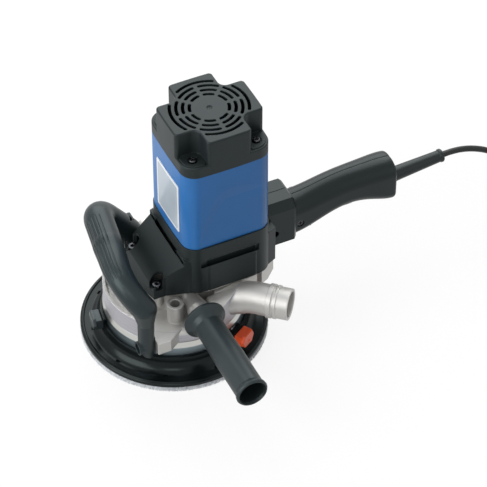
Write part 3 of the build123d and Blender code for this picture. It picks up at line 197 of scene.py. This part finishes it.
def cast_metal(name, base, rough, grit_mm, grit_depth_mm, wall_mm=None):
    """Die-cast and blasted metal: a soft sheen, fine grit, slight clouding, and bright edges, partly rubbed
    wear and partly a painted highlight.

    At wall_mm from the upright axis the metal is turned: cooler, with rings round it.
    """
    dark, pale, bright, stray = 0.86, 1.1, 1.25, 0.08    # shares of the colour, and the roughness's stray
    edge_mm, wall_depth_mm, slow = 1.2, 0.3, 6.0         # slow: change of a turning mark along its ring
    material, tree, shader = new_material(name)
    place = add(tree, "ShaderNodeTexCoord").outputs["Object"]
    round_normal, edge = worn_and_highlit_edges(tree, edge_mm)
    height = add(tree, "ShaderNodeTexNoise", {}, {"Vector": place, "Scale": 1 / (grit_mm * MM), "Detail": 4.0,
                                                 "Roughness": 0.65}).outputs["Fac"]
    cloud = add(tree, "ShaderNodeTexNoise", {}, {"Vector": place, "Scale": 1 / (CAST_CLOUD_MM * MM),
                                                "Detail": 5.0, "Roughness": 0.6}).outputs["Fac"]
    tone = add(tree, "ShaderNodeMix", {"data_type": "RGBA"}, {"Factor": cloud, A: shade(base, dark),
                                                              B: shade(base, pale)}).outputs[MIXED]
    # Brighter at the edges: partly rubbed wear, partly a painted highlight.
    tone = add(tree, "ShaderNodeMix", {"data_type": "RGBA"}, {"Factor": edge, A: tone,
                                                              B: shade(base, bright)}).outputs[MIXED]
    if wall_mm:
        flat = add(tree, "ShaderNodeVectorMath", {"operation": "MULTIPLY"},
                   {0: place, 1: (1, 1, 0)}).outputs[0]
        reach = add(tree, "ShaderNodeVectorMath", {"operation": "LENGTH"}, {0: flat}).outputs["Value"]
        turned = add(tree, "ShaderNodeMath", {"operation": "COMPARE"}, {0: reach, 1: wall_mm * MM,
                                                                       2: wall_depth_mm * MM}).outputs[0]
        rings = add(tree, "ShaderNodeMapping", {},
                    {"Vector": place, "Scale": (slow, slow, 1 / (TURNING_MM * MM))}).outputs[0]
        marks = add(tree, "ShaderNodeTexNoise", {}, {"Vector": rings, "Scale": 1.0, "Detail": 3.0,
                                                    "Roughness": 0.6}).outputs["Fac"]
        cool = add(tree, "ShaderNodeMix", {"data_type": "RGBA"}, {"Factor": marks, A: linear("#97969B"),
                                                                  B: linear("#C2C1C6")}).outputs[MIXED]
        tone = add(tree, "ShaderNodeMix", {"data_type": "RGBA"},
                   {"Factor": turned, A: tone, B: cool}).outputs[MIXED]
        height = add(tree, "ShaderNodeMix", {}, {"Factor": turned, 2: height, 3: marks}).outputs[0]
    sheen = add(tree, "ShaderNodeMapRange", {}, {"Value": height, "To Min": rough - stray,
                                                "To Max": rough + stray})
    bump = add(tree, "ShaderNodeBump", {}, {"Height": height, "Distance": grit_depth_mm * MM, "Strength": 0.7,
                                           "Normal": round_normal})
    tree.links.new(tone, shader.inputs["Base Color"])
    tree.links.new(sheen.outputs["Result"], shader.inputs["Roughness"])
    tree.links.new(bump.outputs["Normal"], shader.inputs["Normal"])
    shader.inputs["Metallic"].default_value = 0.75
    return material


def lathe_turned(name, base, rough, mark_mm, mark_depth_mm, bevel_mm=None, bevel_reflection=None):
    """Metal turned on a lathe: fine rings round the upright axis that stretch each highlight.

    Above the height bevel_mm the metal takes the colour given for the bevel: a painted reflection that makes
    the bevel pale.
    """
    dark, pale, bright = 0.82, 1.1, 1.3       # shares of the colour, the last at the edges, partly rubbed wear and partly a painted highlight
    edge_mm, blend_mm, slow = 0.6, 0.2, 4.0   # slow: change of a mark along its ring
    material, tree, shader = new_material(name)
    place = add(tree, "ShaderNodeTexCoord").outputs["Object"]
    round_normal, edge = worn_and_highlit_edges(tree, edge_mm)
    rings = add(tree, "ShaderNodeMapping", {}, {"Vector": place, "Scale": (slow, slow, 1 / (mark_mm * MM))})
    marks = add(tree, "ShaderNodeTexNoise", {}, {"Vector": rings.outputs[0], "Scale": 1.0, "Detail": 3.0,
                                                "Roughness": 0.7}).outputs["Fac"]
    tone = add(tree, "ShaderNodeMix", {"data_type": "RGBA"}, {"Factor": marks, A: shade(base, dark),
                                                              B: shade(base, pale)}).outputs[MIXED]
    if bevel_mm:
        up = add(tree, "ShaderNodeSeparateXYZ", {}, {0: place}).outputs["Z"]
        above = add(tree, "ShaderNodeMapRange", {}, {"Value": up, "From Min": (bevel_mm - blend_mm) * MM,
                                                    "From Max": (bevel_mm + blend_mm) * MM}).outputs["Result"]
        tone = add(tree, "ShaderNodeMix", {"data_type": "RGBA"},
                   {"Factor": above, A: tone, B: bevel_reflection}).outputs[MIXED]
    # Brighter at the edges: partly rubbed wear, partly a painted highlight.
    worn_and_highlit = add(tree, "ShaderNodeMix", {"data_type": "RGBA"}, {"Factor": edge, A: tone,
                                                              B: shade(base, bright)}).outputs[MIXED]
    sheen = add(tree, "ShaderNodeMapRange", {}, {"Value": marks, "To Min": rough - 0.06,
                                                "To Max": rough + 0.08})
    bump = add(tree, "ShaderNodeBump", {}, {"Height": marks, "Distance": mark_depth_mm * MM, "Strength": 0.5,
                                           "Normal": round_normal})
    tree.links.new(worn_and_highlit, shader.inputs["Base Color"])
    tree.links.new(sheen.outputs["Result"], shader.inputs["Roughness"])
    tree.links.new(bump.outputs["Normal"], shader.inputs["Normal"])
    shader.inputs["Metallic"].default_value = 1.0
    return material


def layered(name, base, gap, layer_mm, metallic, rough):
    """Stacked or wound metal: even lines across the upright axis, as of sheets or of wires side by side."""
    groove_mm, groove_rough = 0.2, 0.15    # depth between two layers, and how much rougher it is there
    material, tree, shader = new_material(name)
    place = add(tree, "ShaderNodeTexCoord").outputs["Object"]
    # At a scale of 1 the wave texture has a line in every 2 pi / 20 of a unit.
    lines = add(tree, "ShaderNodeTexWave", {"bands_direction": "Z", "wave_profile": "SIN"},
                {"Vector": place, "Scale": pi / 10 / (layer_mm * MM), "Distortion": 0.0}).outputs["Fac"]
    tone = add(tree, "ShaderNodeMix", {"data_type": "RGBA"},
               {"Factor": lines, A: gap, B: base}).outputs[MIXED]
    sheen = add(tree, "ShaderNodeMapRange", {}, {"Value": lines, "To Min": rough + groove_rough,
                                                "To Max": rough})
    bump = add(tree, "ShaderNodeBump", {}, {"Height": lines, "Distance": groove_mm * MM, "Strength": 0.8})
    tree.links.new(tone, shader.inputs["Base Color"])
    tree.links.new(sheen.outputs["Result"], shader.inputs["Roughness"])
    tree.links.new(bump.outputs["Normal"], shader.inputs["Normal"])
    shader.inputs["Metallic"].default_value = metallic
    return material


def gritty(name, base, grain, grain_mm, metallic, rough):
    """A bond with grains in it, each a speck of another tone that stands a little proud."""
    rim, core, proud_mm = 0.28, 0.2, 0.15    # a speck's reach as shares of a cell, and its height
    material, tree, shader = new_material(name)
    place = add(tree, "ShaderNodeTexCoord").outputs["Object"]
    cells = add(tree, "ShaderNodeTexVoronoi", {}, {"Vector": place, "Scale": 1 / (grain_mm * MM)})
    speck = add(tree, "ShaderNodeMapRange", {}, {"Value": cells.outputs["Distance"], "From Min": rim,
                                                "From Max": core}).outputs["Result"]
    tone = add(tree, "ShaderNodeMix", {"data_type": "RGBA"},
               {"Factor": speck, A: base, B: grain}).outputs[MIXED]
    bump = add(tree, "ShaderNodeBump", {}, {"Height": speck, "Distance": proud_mm * MM, "Strength": 0.7})
    tree.links.new(tone, shader.inputs["Base Color"])
    tree.links.new(bump.outputs["Normal"], shader.inputs["Normal"])
    shader.inputs["Metallic"].default_value = metallic
    shader.inputs["Roughness"].default_value = rough
    return material


def dress(material, *names):
    """Gives CAD nodes a material."""
    for name in names:
        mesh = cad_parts[name].data
        mesh.materials.clear()
        mesh.materials.append(material)


def finished_mesh(name, form, material, body):
    """A mesh object from a bmesh, which rides on a body and takes a slot's finish."""
    mesh = bpy.data.meshes.new(name)
    form.to_mesh(mesh)
    form.free()
    mesh.materials.append(material)
    piece = bpy.data.objects.new(name, mesh)
    bpy.context.scene.collection.objects.link(piece)
    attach(piece, body)
    return piece


class GRINDER_OT_housing(bpy.types.Operator):
    """Finishes the blue motor housing and its badge plate"""

    bl_idname = "grinder.housing"
    bl_label = "Motor housing"

    def execute(self, context):
        colours = context.scene.grinder_colours
        # Glass-filled nylon, moulded blue: an even satin that shows the softboxes as broad pale bands.
        blue = moulded("nylon_moulded_blue", colours.blue, rough=0.36, grain_mm=1.2, grain_depth_mm=0.02,
                       edge_mm=1.2, edge_light=1.3, gloss=0.3)
        dress(blue, "motor_housing")
        # Polycarbonate plate, rolled: smooth and bright white, with a clear top coat.
        plate = moulded("polycarbonate_plate", colours.plate, rough=0.30, grain_mm=4.0, grain_depth_mm=0.005,
                        edge_mm=0.3, edge_light=1.1, coat=0.4)
        dress(plate, "badge_plate")
        # Polycarbonate, satin silver ink: a bare inner field, slightly darker than its border.
        panel = moulded("polycarbonate_silver_ink", colours.panel, rough=0.34, grain_mm=0.8,
                        grain_depth_mm=0.01, edge_mm=0.3, edge_light=1.05, coat=0.3)
        low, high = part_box("badge_plate")
        border = 2.6 * MM
        finished_mesh("badge_panel", self.curved_panel(low, high, border), panel, "tool")
        return {"FINISHED"}

    def curved_panel(self, low, high, border):
        """A thin sheet that follows the swelling front of the plate, with round corners."""
        swell, half_width, corner, steps = 1.5 * MM, 46.0 * MM, 1.4 * MM, 24
        proud, thick = 0.12 * MM, 0.5 * MM
        form = bmesh.new()
        first, last = low.y + border, high.y - border
        columns = []
        for i in range(steps + 1):
            y = first + (last - first) * i / steps
            inward = max(0.0, corner - min(y - first, last - y))
            trim = corner - (max(0.0, corner ** 2 - inward ** 2)) ** 0.5
            front = low.x - proud + swell * (y / half_width) ** 2
            column = []
            under, over = low.z + border + trim, high.z - border - trim
            for x, z in ((front, under), (front, over), (front + thick, over), (front + thick, under)):
                column.append(form.verts.new((x, y, z)))
            columns.append(column)
        for a, b in zip(columns, columns[1:]):
            for k in range(4):
                form.faces.new((a[k - 1], a[k], b[k], b[k - 1]))
        form.faces.new(columns[0])
        form.faces.new(list(reversed(columns[-1])))
        bmesh.ops.recalc_face_normals(form, faces=form.faces)
        return form


class GRINDER_OT_mouldings(bpy.types.Operator):
    """Finishes the black mouldings: cap, head, rear handle, trigger and front catch"""

    bl_idname = "grinder.mouldings"
    bl_label = "Black mouldings"

    def execute(self, context):
        colours = context.scene.grinder_colours
        # Glass-filled nylon, moulded with a spark texture: dark grey, matt, with soft grey highlights.
        black = moulded("nylon_spark_textured_black", colours.black, rough=0.42, grain_mm=0.9,
                        grain_depth_mm=0.05, gloss=0.25, tint=COOL)
        dress(black, "motor_cap", "fan_housing", "switch_block", "cord_clamp", "brush_holders", "cooling_fan")
        # Acetal, moulded: the catch's dark grey is a painted highlight, where its face catches the light, a
        # little paler than the dish it stands on.
        grey = moulded("acetal_moulded_grey_painted_highlight", colours.catch, rough=0.36, grain_mm=1.5, grain_depth_mm=0.02,
                       edge_mm=0.8, edge_light=1.5, tint=COOL)
        dress(grey, "front_catch")
        # Glass-filled nylon, moulded in a polished tool: darker, with one long soft highlight along a crest.
        satin = moulded("nylon_polished_black", shade(colours.black, 0.7), rough=0.32, grain_mm=1.8,
                        grain_depth_mm=0.02, gloss=0.26, tint=COOL)
        dress(satin, "handle_shell_near", "handle_shell_far", "trigger")
        return {"FINISHED"}


class GRINDER_OT_grips(bpy.types.Operator):
    """Finishes the front bail and the side handle"""

    bl_idname = "grinder.grips"
    bl_label = "Bail and side handle"

    def execute(self, context):
        colours = context.scene.grinder_colours
        # Nylon, moulded and polished by hands: a slightly smoother black than the head.
        grip = moulded("nylon_moulded_grip", colours.grip, rough=0.38, grain_mm=1.4, grain_depth_mm=0.03,
                       gloss=0.35, tint=COOL)
        dress(grip, "bail_handle")
        # Elastomer, moulded over the grip: matt and paler, with a broad soft sheen.
        soft = moulded("elastomer_moulded_grip", colours.side_grip, rough=0.44, grain_mm=1.2,
                       grain_depth_mm=0.04, gloss=0.4, tint=COOL)
        dress(soft, "side_grip")
        return {"FINISHED"}


class GRINDER_OT_castings(bpy.types.Operator):
    """Finishes the gear case, the dust hood and the bearing plate"""

    bl_idname = "grinder.castings"
    bl_label = "Castings"

    def execute(self, context):
        base = context.scene.grinder_colours.casting
        # Aluminium, die cast and blasted: pale grey, satin, with grit drawn coarser than it is, to show.
        blasted = cast_metal("aluminium_die_cast_blasted", base, rough=0.42, grit_mm=0.9, grit_depth_mm=0.06)
        dress(blasted, "gear_case", "bearing_plate")
        # The hood is cast and blasted too, and its wall is turned, which draws pale lilac lines round it.
        turned = cast_metal("aluminium_cast_turned_wall", base, rough=0.52, grit_mm=0.9, grit_depth_mm=0.06,
                            wall_mm=HOOD_WALL_MM)
        dress(turned, "dust_hood")
        return {"FINISHED"}


class GRINDER_OT_collar(bpy.types.Operator):
    """Finishes the plated collar, the retainer and the bolts"""

    bl_idname = "grinder.collar"
    bl_label = "Plated steel"

    def execute(self, context):
        # Steel, turned and zinc plated: cool bluish grey with bright rings at its bevel, which is painted
        # paler as a painted reflection.
        base = context.scene.grinder_colours.plated
        plated = lathe_turned("steel_turned_zinc_plated", base, rough=0.30, mark_mm=0.5, mark_depth_mm=0.01,
                              bevel_mm=COLLAR_BEVEL_MM, bevel_reflection=linear("#BCBCB8"))
        dress(plated, "steel_collar", "bearing_retainer")
        # Steel, cold headed and black oxidised: dark, with a small bright glint on each head.
        oxide = lathe_turned("steel_headed_black_oxide", linear("#424447"), rough=0.24, mark_mm=0.4,
                             mark_depth_mm=0.005)
        dress(oxide, "cap_screws", "nose_screws", "bail_bolts", "handle_screws", "hood_screws")
        return {"FINISHED"}


class GRINDER_OT_skirt(bpy.types.Operator):
    """Finishes the skirt's rim and catches, and draws its bristles"""

    bl_idname = "grinder.skirt"
    bl_label = "Brush skirt"

    strips = 5
    strip_gap = 1.4                       # degrees between the backing bands
    overhang = 0.5                        # degrees by which the bristles reach past their band
    band = (90.9 * MM, 96.0 * MM, 5.5 * MM)   # inner and outer radius, underside
    rows = (91.9 * MM, 93.8 * MM, 95.7 * MM)
    sides = 5                             # of one bristle
    root_stray = 0.35                     # millimetres that a root strays across its row
    sunk = 0.2 * MM                       # how far a root goes up into its band
    outward = (2.4, 4.0)                  # least and most outward lean, against the lean along the row
    lean_share = 0.7
    tip_stray = 0.2                       # millimetres by which a tip may end higher
    tip_taper = 0.8

    def execute(self, context):
        colours, sizes = context.scene.grinder_colours, context.scene.grinder_sizes
        # Polypropylene, moulded in a polished tool: deep black with broad glossy bands round the rim.
        dish = moulded("polypropylene_polished_black", colours.dish, rough=0.22, grain_mm=3.0,
                       grain_depth_mm=0.01, edge_mm=0.8, edge_light=1.6, gloss=0.18, tint=COOL)
        dress(dish, "skirt_dish")
        # Acetal, moulded orange: bright, slightly waxy.
        orange = moulded("acetal_moulded_orange", colours.orange, rough=0.38, grain_mm=1.5,
                         grain_depth_mm=0.02, edge_mm=0.8, edge_light=1.15)
        dress(orange, "side_catch")
        # Nylon, extruded into bristles: pale grey strands that differ a little in tone.
        bristle = moulded("nylon_extruded_bristle", colours.bristle, rough=0.42, grain_mm=0.9,
                          grain_depth_mm=0.01, edge_mm=0.3, edge_light=1.1)
        for index in range(1, self.strips + 1):
            self.draw_strip(index, sizes, bristle)
        return {"FINISHED"}

    def draw_strip(self, index, sizes, bristle):
        """One strip: a backing band in the rim's groove with three rows of leaning bristles."""
        dice = random.Random(index)
        low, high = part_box(f"brush_strip_{index}")
        share = 360.0 / self.strips
        start, span = share * (index - 1) + self.strip_gap / 2, share - self.strip_gap
        form = bmesh.new()
        self.add_band(form, start, span, high.z)
        first, reach, count = start - self.overhang, span + 2 * self.overhang, sizes.bristles_per_row
        for row in self.rows:
            for k in range(count):
                angle = radians(first + reach * (k + dice.uniform(0.2, 0.8)) / count)
                across = Vector((cos(angle), sin(angle), 0))
                along = Vector((-sin(angle), cos(angle), 0))
                root = across * (row + dice.uniform(-self.root_stray, self.root_stray) * MM)
                lean = across * dice.uniform(*self.outward) + along * dice.uniform(-1, 1)
                tip = root + lean * sizes.bristle_lean * self.lean_share
                tip_z = low.z + dice.uniform(0.0, self.tip_stray) * MM
                self.add_strand(form, (across, along), root, tip, tip_z, sizes.bristle_diameter / 2)
        bmesh.ops.recalc_face_normals(form, faces=form.faces)
        strip = finished_mesh(f"bristles_{index}", form, bristle, "skirt")
        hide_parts(f"brush_strip_{index}")

    def add_band(self, form, start, span, top):
        """The backing band: a bent bar that starts at an angle and spans some degrees."""
        inner, outer, under = self.band
        steps = 36
        rings = []
        for i in range(steps + 1):
            angle = radians(start + span * i / steps)
            across = Vector((cos(angle), sin(angle), 0))
            section = ((inner, under), (outer, under), (outer, top), (inner, top))
            rings.append([form.verts.new(across * r + Vector((0, 0, z))) for r, z in section])
        for a, b in zip(rings, rings[1:]):
            for k in range(4):
                form.faces.new((a[k], a[k - 1], b[k - 1], b[k]))
        form.faces.new(rings[0])
        form.faces.new(list(reversed(rings[-1])))

    def add_strand(self, form, directions, root, tip, tip_z, radius):
        """One bristle: a tapering prism from its root in the band down to its tip."""
        across, along = directions
        ends = ((root, self.band[2] + self.sunk, radius), (tip, tip_z, radius * self.tip_taper))
        loops = []
        for middle, z, size in ends:
            loop = []
            for s in range(self.sides):
                turn = 2 * pi * s / self.sides
                place = middle + (across * cos(turn) + along * sin(turn)) * size
                loop.append(form.verts.new((place.x, place.y, z)))
            loops.append(loop)
        for s in range(self.sides):
            form.faces.new((loops[0][s], loops[0][s - 1], loops[1][s - 1], loops[1][s]))
        form.faces.new(list(reversed(loops[1])))


class GRINDER_OT_springs(bpy.types.Operator):
    """Draws the springs between the collar and the skirt"""

    bl_idname = "grinder.springs"
    bl_label = "Skirt springs"

    count = 8
    reach = 70.8 * MM        # springs from the spindle axis
    coil_radius = 1.65 * MM
    wire = 0.6 * MM
    turns = 5
    pressed = 0.4            # share of its length that a spring keeps when the skirt is right up

    def execute(self, context):
        # Spring steel, drawn and wound: thin bright wire.
        steel = lathe_turned("steel_spring_drawn", linear("#A9ABAD"), rough=0.3, mark_mm=0.5,
                             mark_depth_mm=0.003)
        low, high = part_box("float_springs")
        form = bmesh.new()
        for i in range(self.count):
            angle = 2 * pi * (i + 0.5) / self.count
            middle = Vector((cos(angle), sin(angle), 0)) * self.reach
            self.wind(form, middle, low.z + self.wire / 2, high.z - self.wire / 2)
        bmesh.ops.recalc_face_normals(form, faces=form.faces)
        springs = finished_mesh("skirt_springs", form, steel, "tool")
        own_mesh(springs)
        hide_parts("float_springs")
        return {"FINISHED"}

    def wind(self, form, middle, low, high):
        """One spring: a wire of six sides along a helix."""
        sides, per_turn = 6, 14
        steps = self.turns * per_turn
        loops = []
        for k in range(steps + 1):
            turn = 2 * pi * k / per_turn
            across = Vector((cos(turn), sin(turn), 0))
            centre = middle + across * self.coil_radius + Vector((0, 0, low + (high - low) * k / steps))
            loop = []
            for s in range(sides):
                side = 2 * pi * s / sides
                offset = across * cos(side) + Vector((0, 0, sin(side)))
                loop.append(form.verts.new(centre + offset * self.wire / 2))
            loops.append(loop)
        for a, b in zip(loops, loops[1:]):
            for s in range(sides):
                form.faces.new((a[s - 1], a[s], b[s], b[s - 1]))
        form.faces.new(loops[0])
        form.faces.new(list(reversed(loops[-1])))


class GRINDER_OT_running_gear(bpy.types.Operator):
    """Finishes the spindle, the gears, the bearings and the wheel"""

    bl_idname = "grinder.running_gear"
    bl_label = "Running gear and wheel"

    def execute(self, context):
        # Steel, ground: bright, with rings too fine to feel.
        ground = lathe_turned("steel_ground_bright", linear("#BFC1C3"), rough=0.24, mark_mm=0.6,
                              mark_depth_mm=0.004)
        dress(ground, "spindle", "drive_gear", "drive_pinion", "armature_shaft", "upper_motor_bearing",
              "lower_motor_bearing", "upper_spindle_bearing", "lower_spindle_bearing", "side_stud",
              "clamp_nut", "wheel_flange", "trigger_pin")
        # Steel, stoved enamel: dark grey, smooth, with some orange peel.
        enamel = moulded("steel_stoved_enamel", linear("#4A4D52"), rough=0.32, grain_mm=3.5,
                         grain_depth_mm=0.04, edge_mm=0.8, edge_light=1.6)
        dress(enamel, "cup_wheel")
        # Metal bond, sintered with diamond grit: brownish grey with pale specks, drawn three times too large.
        bond = gritty("bond_sintered_diamond", linear("#7A7368"), linear("#C9C3A8"), grain_mm=1.4,
                      metallic=0.6, rough=0.5)
        dress(bond, "diamond_segments")
        return {"FINISHED"}


class GRINDER_OT_motor(bpy.types.Operator):
    """Finishes the pieces inside the motor"""

    bl_idname = "grinder.motor"
    bl_label = "Inside the motor"

    def execute(self, context):
        # Silicon steel, stamped and stacked: grey, with the edges of its sheets as fine lines.
        sheets = layered("steel_laminations_stacked", linear("#8A8D90"), linear("#4A4C4E"), layer_mm=1.0,
                         metallic=0.9, rough=0.4)
        dress(sheets, "stator_core", "armature_core")
        # Copper, enamelled and wound: reddish brown wires side by side under clear lacquer.
        wires = layered("copper_enamelled_wound", linear("#A65A2E"), linear("#4A2412"), layer_mm=0.8,
                        metallic=1.0, rough=0.25)
        dress(wires, "field_coils", "armature_windings", "commutator")
        # Carbon, pressed: near black, with a faint silvery dust.
        carbon = gritty("carbon_pressed", linear("#1E1F21"), linear("#3C3E41"), grain_mm=0.8, metallic=0.2,
                        rough=0.55)
        dress(carbon, "carbon_brushes")
        return {"FINISHED"}


class GRINDER_OT_cord(bpy.types.Operator):
    """Draws the mains cord from the sleeve to the plug, with its put-away length in a tied coil"""

    bl_idname = "grinder.cord"
    bl_label = "Mains cord"

    lead = ((309.0, 0.0, 112.5), (321.96, 0.0, 113.57), (344.0, 0.0, 108.4), (368.5, 0.0, 95.0),
            (388.5, 0.0, 73.5), (407.0, 0.0, 51.5), (428.5, 0.0, 34.5), (453.0, 0.0, 25.9),
            (475.5, 0.0, 25.9))
    tail = ((475.5, -105.0, 4.3), (452.5, -105.0, 4.3), (423.5, -105.0, 11.3), (400.0, -105.0, 11.3))

    def coil(self):
        """Points of the coil: half circles that step in and out, layer by layer from the top."""
        outer, inner, step, rise, low, layers, halves = 52.5, 24.5, 8.0, 7.2, 4.3, 4, 7
        middle_x, middle_y = 482.0, -outer
        crossings = []
        for layer in range(layers):
            z = low + (layers - 1 - layer) * rise
            for k in range(halves + 1):
                radius = outer - k * step / 2 if layer % 2 == 0 else inner + k * step / 2
                side = 1 if len(crossings) % 2 == 0 else -1
                crossings.append(Vector((middle_x, middle_y + side * radius, z)))
        points = []
        per_half = 12
        for i, (start, end) in enumerate(zip(crossings, crossings[1:])):
            bulge = Vector((1 if i % 2 == 0 else -1, 0, 0)) * ((end - start).length / 2)
            for k in range(per_half):
                turn = pi * k / per_half
                points.append(start + (end - start) * ((1 - cos(turn)) / 2) + bulge * sin(turn))
        return points + [crossings[-1]]

    def execute(self, context):
        colours, sizes = context.scene.grinder_colours, context.scene.grinder_sizes
        # Rubber sheath, extruded: matt black with a faint bloom.
        sheath = moulded("rubber_extruded_sheath", colours.cord, rough=0.48, grain_mm=1.6,
                         grain_depth_mm=0.02, edge_mm=0.4, edge_light=1.3, gloss=0.35)
        dress(sheath, "coil_tie")
        # Rubber, moulded: the sleeve, the seal and the plug, black with a slightly waxy highlight.
        rubber = moulded("rubber_moulded_black", colours.cord, rough=0.38, grain_mm=1.2,
                         grain_depth_mm=0.03, gloss=0.35, tint=COOL)
        dress(rubber, "cord_sleeve", "spindle_seal", "mains_plug")
        # Brass, turned and nickel plated: bright and slightly warm.
        nickel = lathe_turned("brass_nickel_plated", linear("#CFC8B8"), rough=0.2, mark_mm=0.5,
                              mark_depth_mm=0.003)
        dress(nickel, "plug_pins")
        points = [Vector(p) for p in self.lead] + self.coil() + [Vector(p) for p in self.tail]
        curve = bpy.data.curves.new("mains_cord", "CURVE")
        curve.dimensions = "3D"
        curve.resolution_u = 6
        curve.bevel_depth = sizes.cord_diameter / 2
        curve.bevel_resolution = 5
        spline = curve.splines.new("NURBS")
        spline.points.add(len(points) - 1)
        for point, place in zip(spline.points, points):
            point.co = (*(place * MM), 1.0)
        spline.order_u = 3
        spline.use_endpoint_u = True
        curve.materials.append(sheath)
        flex = bpy.data.objects.new("mains_cord", curve)
        context.scene.collection.objects.link(flex)
        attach(flex, "tool")
        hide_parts("cord_lead", "cord_coil", "cord_tail")
        return {"FINISHED"}


class GRINDER_OT_stage(bpy.types.Operator):
    """Sets the camera, the soft lights and the pale floor"""

    bl_idname = "grinder.stage"
    bl_label = "Studio"

    camera_place = (-0.7410, -1.7126, 1.9463)
    camera_turn = (45.5, 0.0, -25.6)      # degrees
    lens_mm = 192.2
    sensor_mm = 36.0
    lit_point = (0.06, -0.02, 0.1)        # what each softbox faces
    softboxes = (                         # name, place, side in metres, watts
        ("left_softbox", (-1.6, -0.2, 1.0), 1.4, 30.0),
        ("back_softbox", (0.55, 1.2, 1.6), 2.2, 42.0),
        ("front_softbox", (-1.0, -1.9, 1.7), 0.8, 7.0),
        ("right_fill", (1.2, -1.5, 0.9), 1.2, 1.5),
    )
    paper_glow = 0.85                     # share of plain white in the floor where it is seen
    world_light = 0.3                     # strength of the surroundings as light, against 1 where seen

    def execute(self, context):
        scene = context.scene
        scene.view_settings.view_transform = "Standard"
        lens = bpy.data.cameras.new("camera")
        lens.sensor_width = self.sensor_mm
        lens.lens = self.lens_mm
        camera = bpy.data.objects.new("camera", lens)
        camera.location = self.camera_place
        camera.rotation_euler = [radians(angle) for angle in self.camera_turn]
        scene.collection.objects.link(camera)
        scene.camera = camera
        for name, place, side, power in self.softboxes:
            self.lamp(name, place, side, power)
        self.lay_floor(scene.grinder_sizes.floor_side)
        self.light_world(scene)
        return {"FINISHED"}

    def lamp(self, name, place, side, power):
        """A square softbox that faces the grinder."""
        light = bpy.data.lights.new(name, "AREA")
        light.size = side
        light.energy = power
        lamp = bpy.data.objects.new(name, light)
        lamp.location = place
        facing = Vector(self.lit_point) - Vector(place)
        lamp.rotation_euler = facing.to_track_quat("-Z", "Y").to_euler()
        bpy.context.scene.collection.objects.link(lamp)

    def seen_ray(self, tree):
        """1 where a camera, glossy or transmitted ray looks at the background."""
        rays = add(tree, "ShaderNodeLightPath").outputs
        first = add(tree, "ShaderNodeMath", {"operation": "MAXIMUM"},
                    {0: rays["Is Camera Ray"], 1: rays["Is Glossy Ray"]}).outputs[0]
        return add(tree, "ShaderNodeMath", {"operation": "MAXIMUM"},
                   {0: first, 1: rays["Is Transmission Ray"]}).outputs[0]

    def lay_floor(self, side):
        """White paper floor: seen nearly white, but it takes the shadow."""
        form = bmesh.new()
        bmesh.ops.create_grid(form, x_segments=1, y_segments=1, size=side / 2)
        mesh = bpy.data.meshes.new("floor")
        form.to_mesh(mesh)
        form.free()
        material, tree, shader = new_material("paper_matt_white")
        shader.inputs["Roughness"].default_value = 0.9
        seen = self.seen_ray(tree)
        paper = add(tree, "ShaderNodeMix", {"data_type": "RGBA"}, {"Factor": seen, A: linear("#A0A0A0"),
                                                                   B: linear("#F2F2F2")}).outputs[MIXED]
        tree.links.new(paper, shader.inputs["Base Color"])
        part = add(tree, "ShaderNodeMath", {"operation": "MULTIPLY"},
                   {0: seen, 1: self.paper_glow}).outputs[0]
        glow = add(tree, "ShaderNodeEmission", {}, {"Color": (1, 1, 1, 1), "Strength": 1.0}).outputs[0]
        both = add(tree, "ShaderNodeMixShader", {}, {0: part, 1: shader.outputs[0], 2: glow}).outputs[0]
        tree.links.new(both, tree.nodes["Material Output"].inputs["Surface"])
        mesh.materials.append(material)
        floor = bpy.data.objects.new("floor", mesh)
        bpy.context.scene.collection.objects.link(floor)

    def light_world(self, scene):
        """Even white surroundings, dimmer as light than as seen."""
        world = bpy.data.worlds.new("studio")
        world.use_nodes = True
        scene.world = world
        tree = world.node_tree
        strength = add(tree, "ShaderNodeMapRange", {}, {"Value": self.seen_ray(tree),
                                                       "To Min": self.world_light, "To Max": 1.0})
        back = tree.nodes["Background"]
        back.inputs["Color"].default_value = (1, 1, 1, 1)
        tree.links.new(strength.outputs["Result"], back.inputs["Strength"])


OPERATORS = (GRINDER_OT_stage, GRINDER_OT_cord, GRINDER_OT_housing, GRINDER_OT_mouldings,
             GRINDER_OT_grips, GRINDER_OT_castings, GRINDER_OT_collar, GRINDER_OT_skirt,
             GRINDER_OT_springs, GRINDER_OT_running_gear, GRINDER_OT_motor)


class GRINDER_PT_panel(bpy.types.Panel):
    """Pieces and finishes of the grinder"""

    bl_label = "Renovation grinder"
    bl_idname = "GRINDER_PT_panel"
    bl_space_type = "VIEW_3D"
    bl_region_type = "UI"
    bl_category = "Grinder"

    def draw(self, context):
        for settings in (context.scene.grinder_colours, context.scene.grinder_sizes):
            for name in settings.__annotations__:
                self.layout.prop(settings, name)
        for operator in OPERATORS:
            self.layout.operator(operator.bl_idname)


CLASSES = (GrinderColours, GrinderSizes) + OPERATORS + (GRINDER_PT_panel,)


def register():
    for kind in CLASSES:
        bpy.utils.register_class(kind)
    bpy.types.Scene.grinder_colours = PointerProperty(type=GrinderColours)
    bpy.types.Scene.grinder_sizes = PointerProperty(type=GrinderSizes)


def unregister():
    del bpy.types.Scene.grinder_sizes
    del bpy.types.Scene.grinder_colours
    for kind in reversed(CLASSES):
        bpy.utils.unregister_class(kind)


def main():
    register()
    bpy.ops.grinder.stage()
    bpy.ops.grinder.cord()
    bpy.ops.grinder.housing()
    bpy.ops.grinder.mouldings()
    bpy.ops.grinder.grips()
    bpy.ops.grinder.castings()
    bpy.ops.grinder.collar()
    bpy.ops.grinder.skirt()
    bpy.ops.grinder.springs()
    bpy.ops.grinder.running_gear()
    bpy.ops.grinder.motor()


if __name__ == "__main__":
    main()
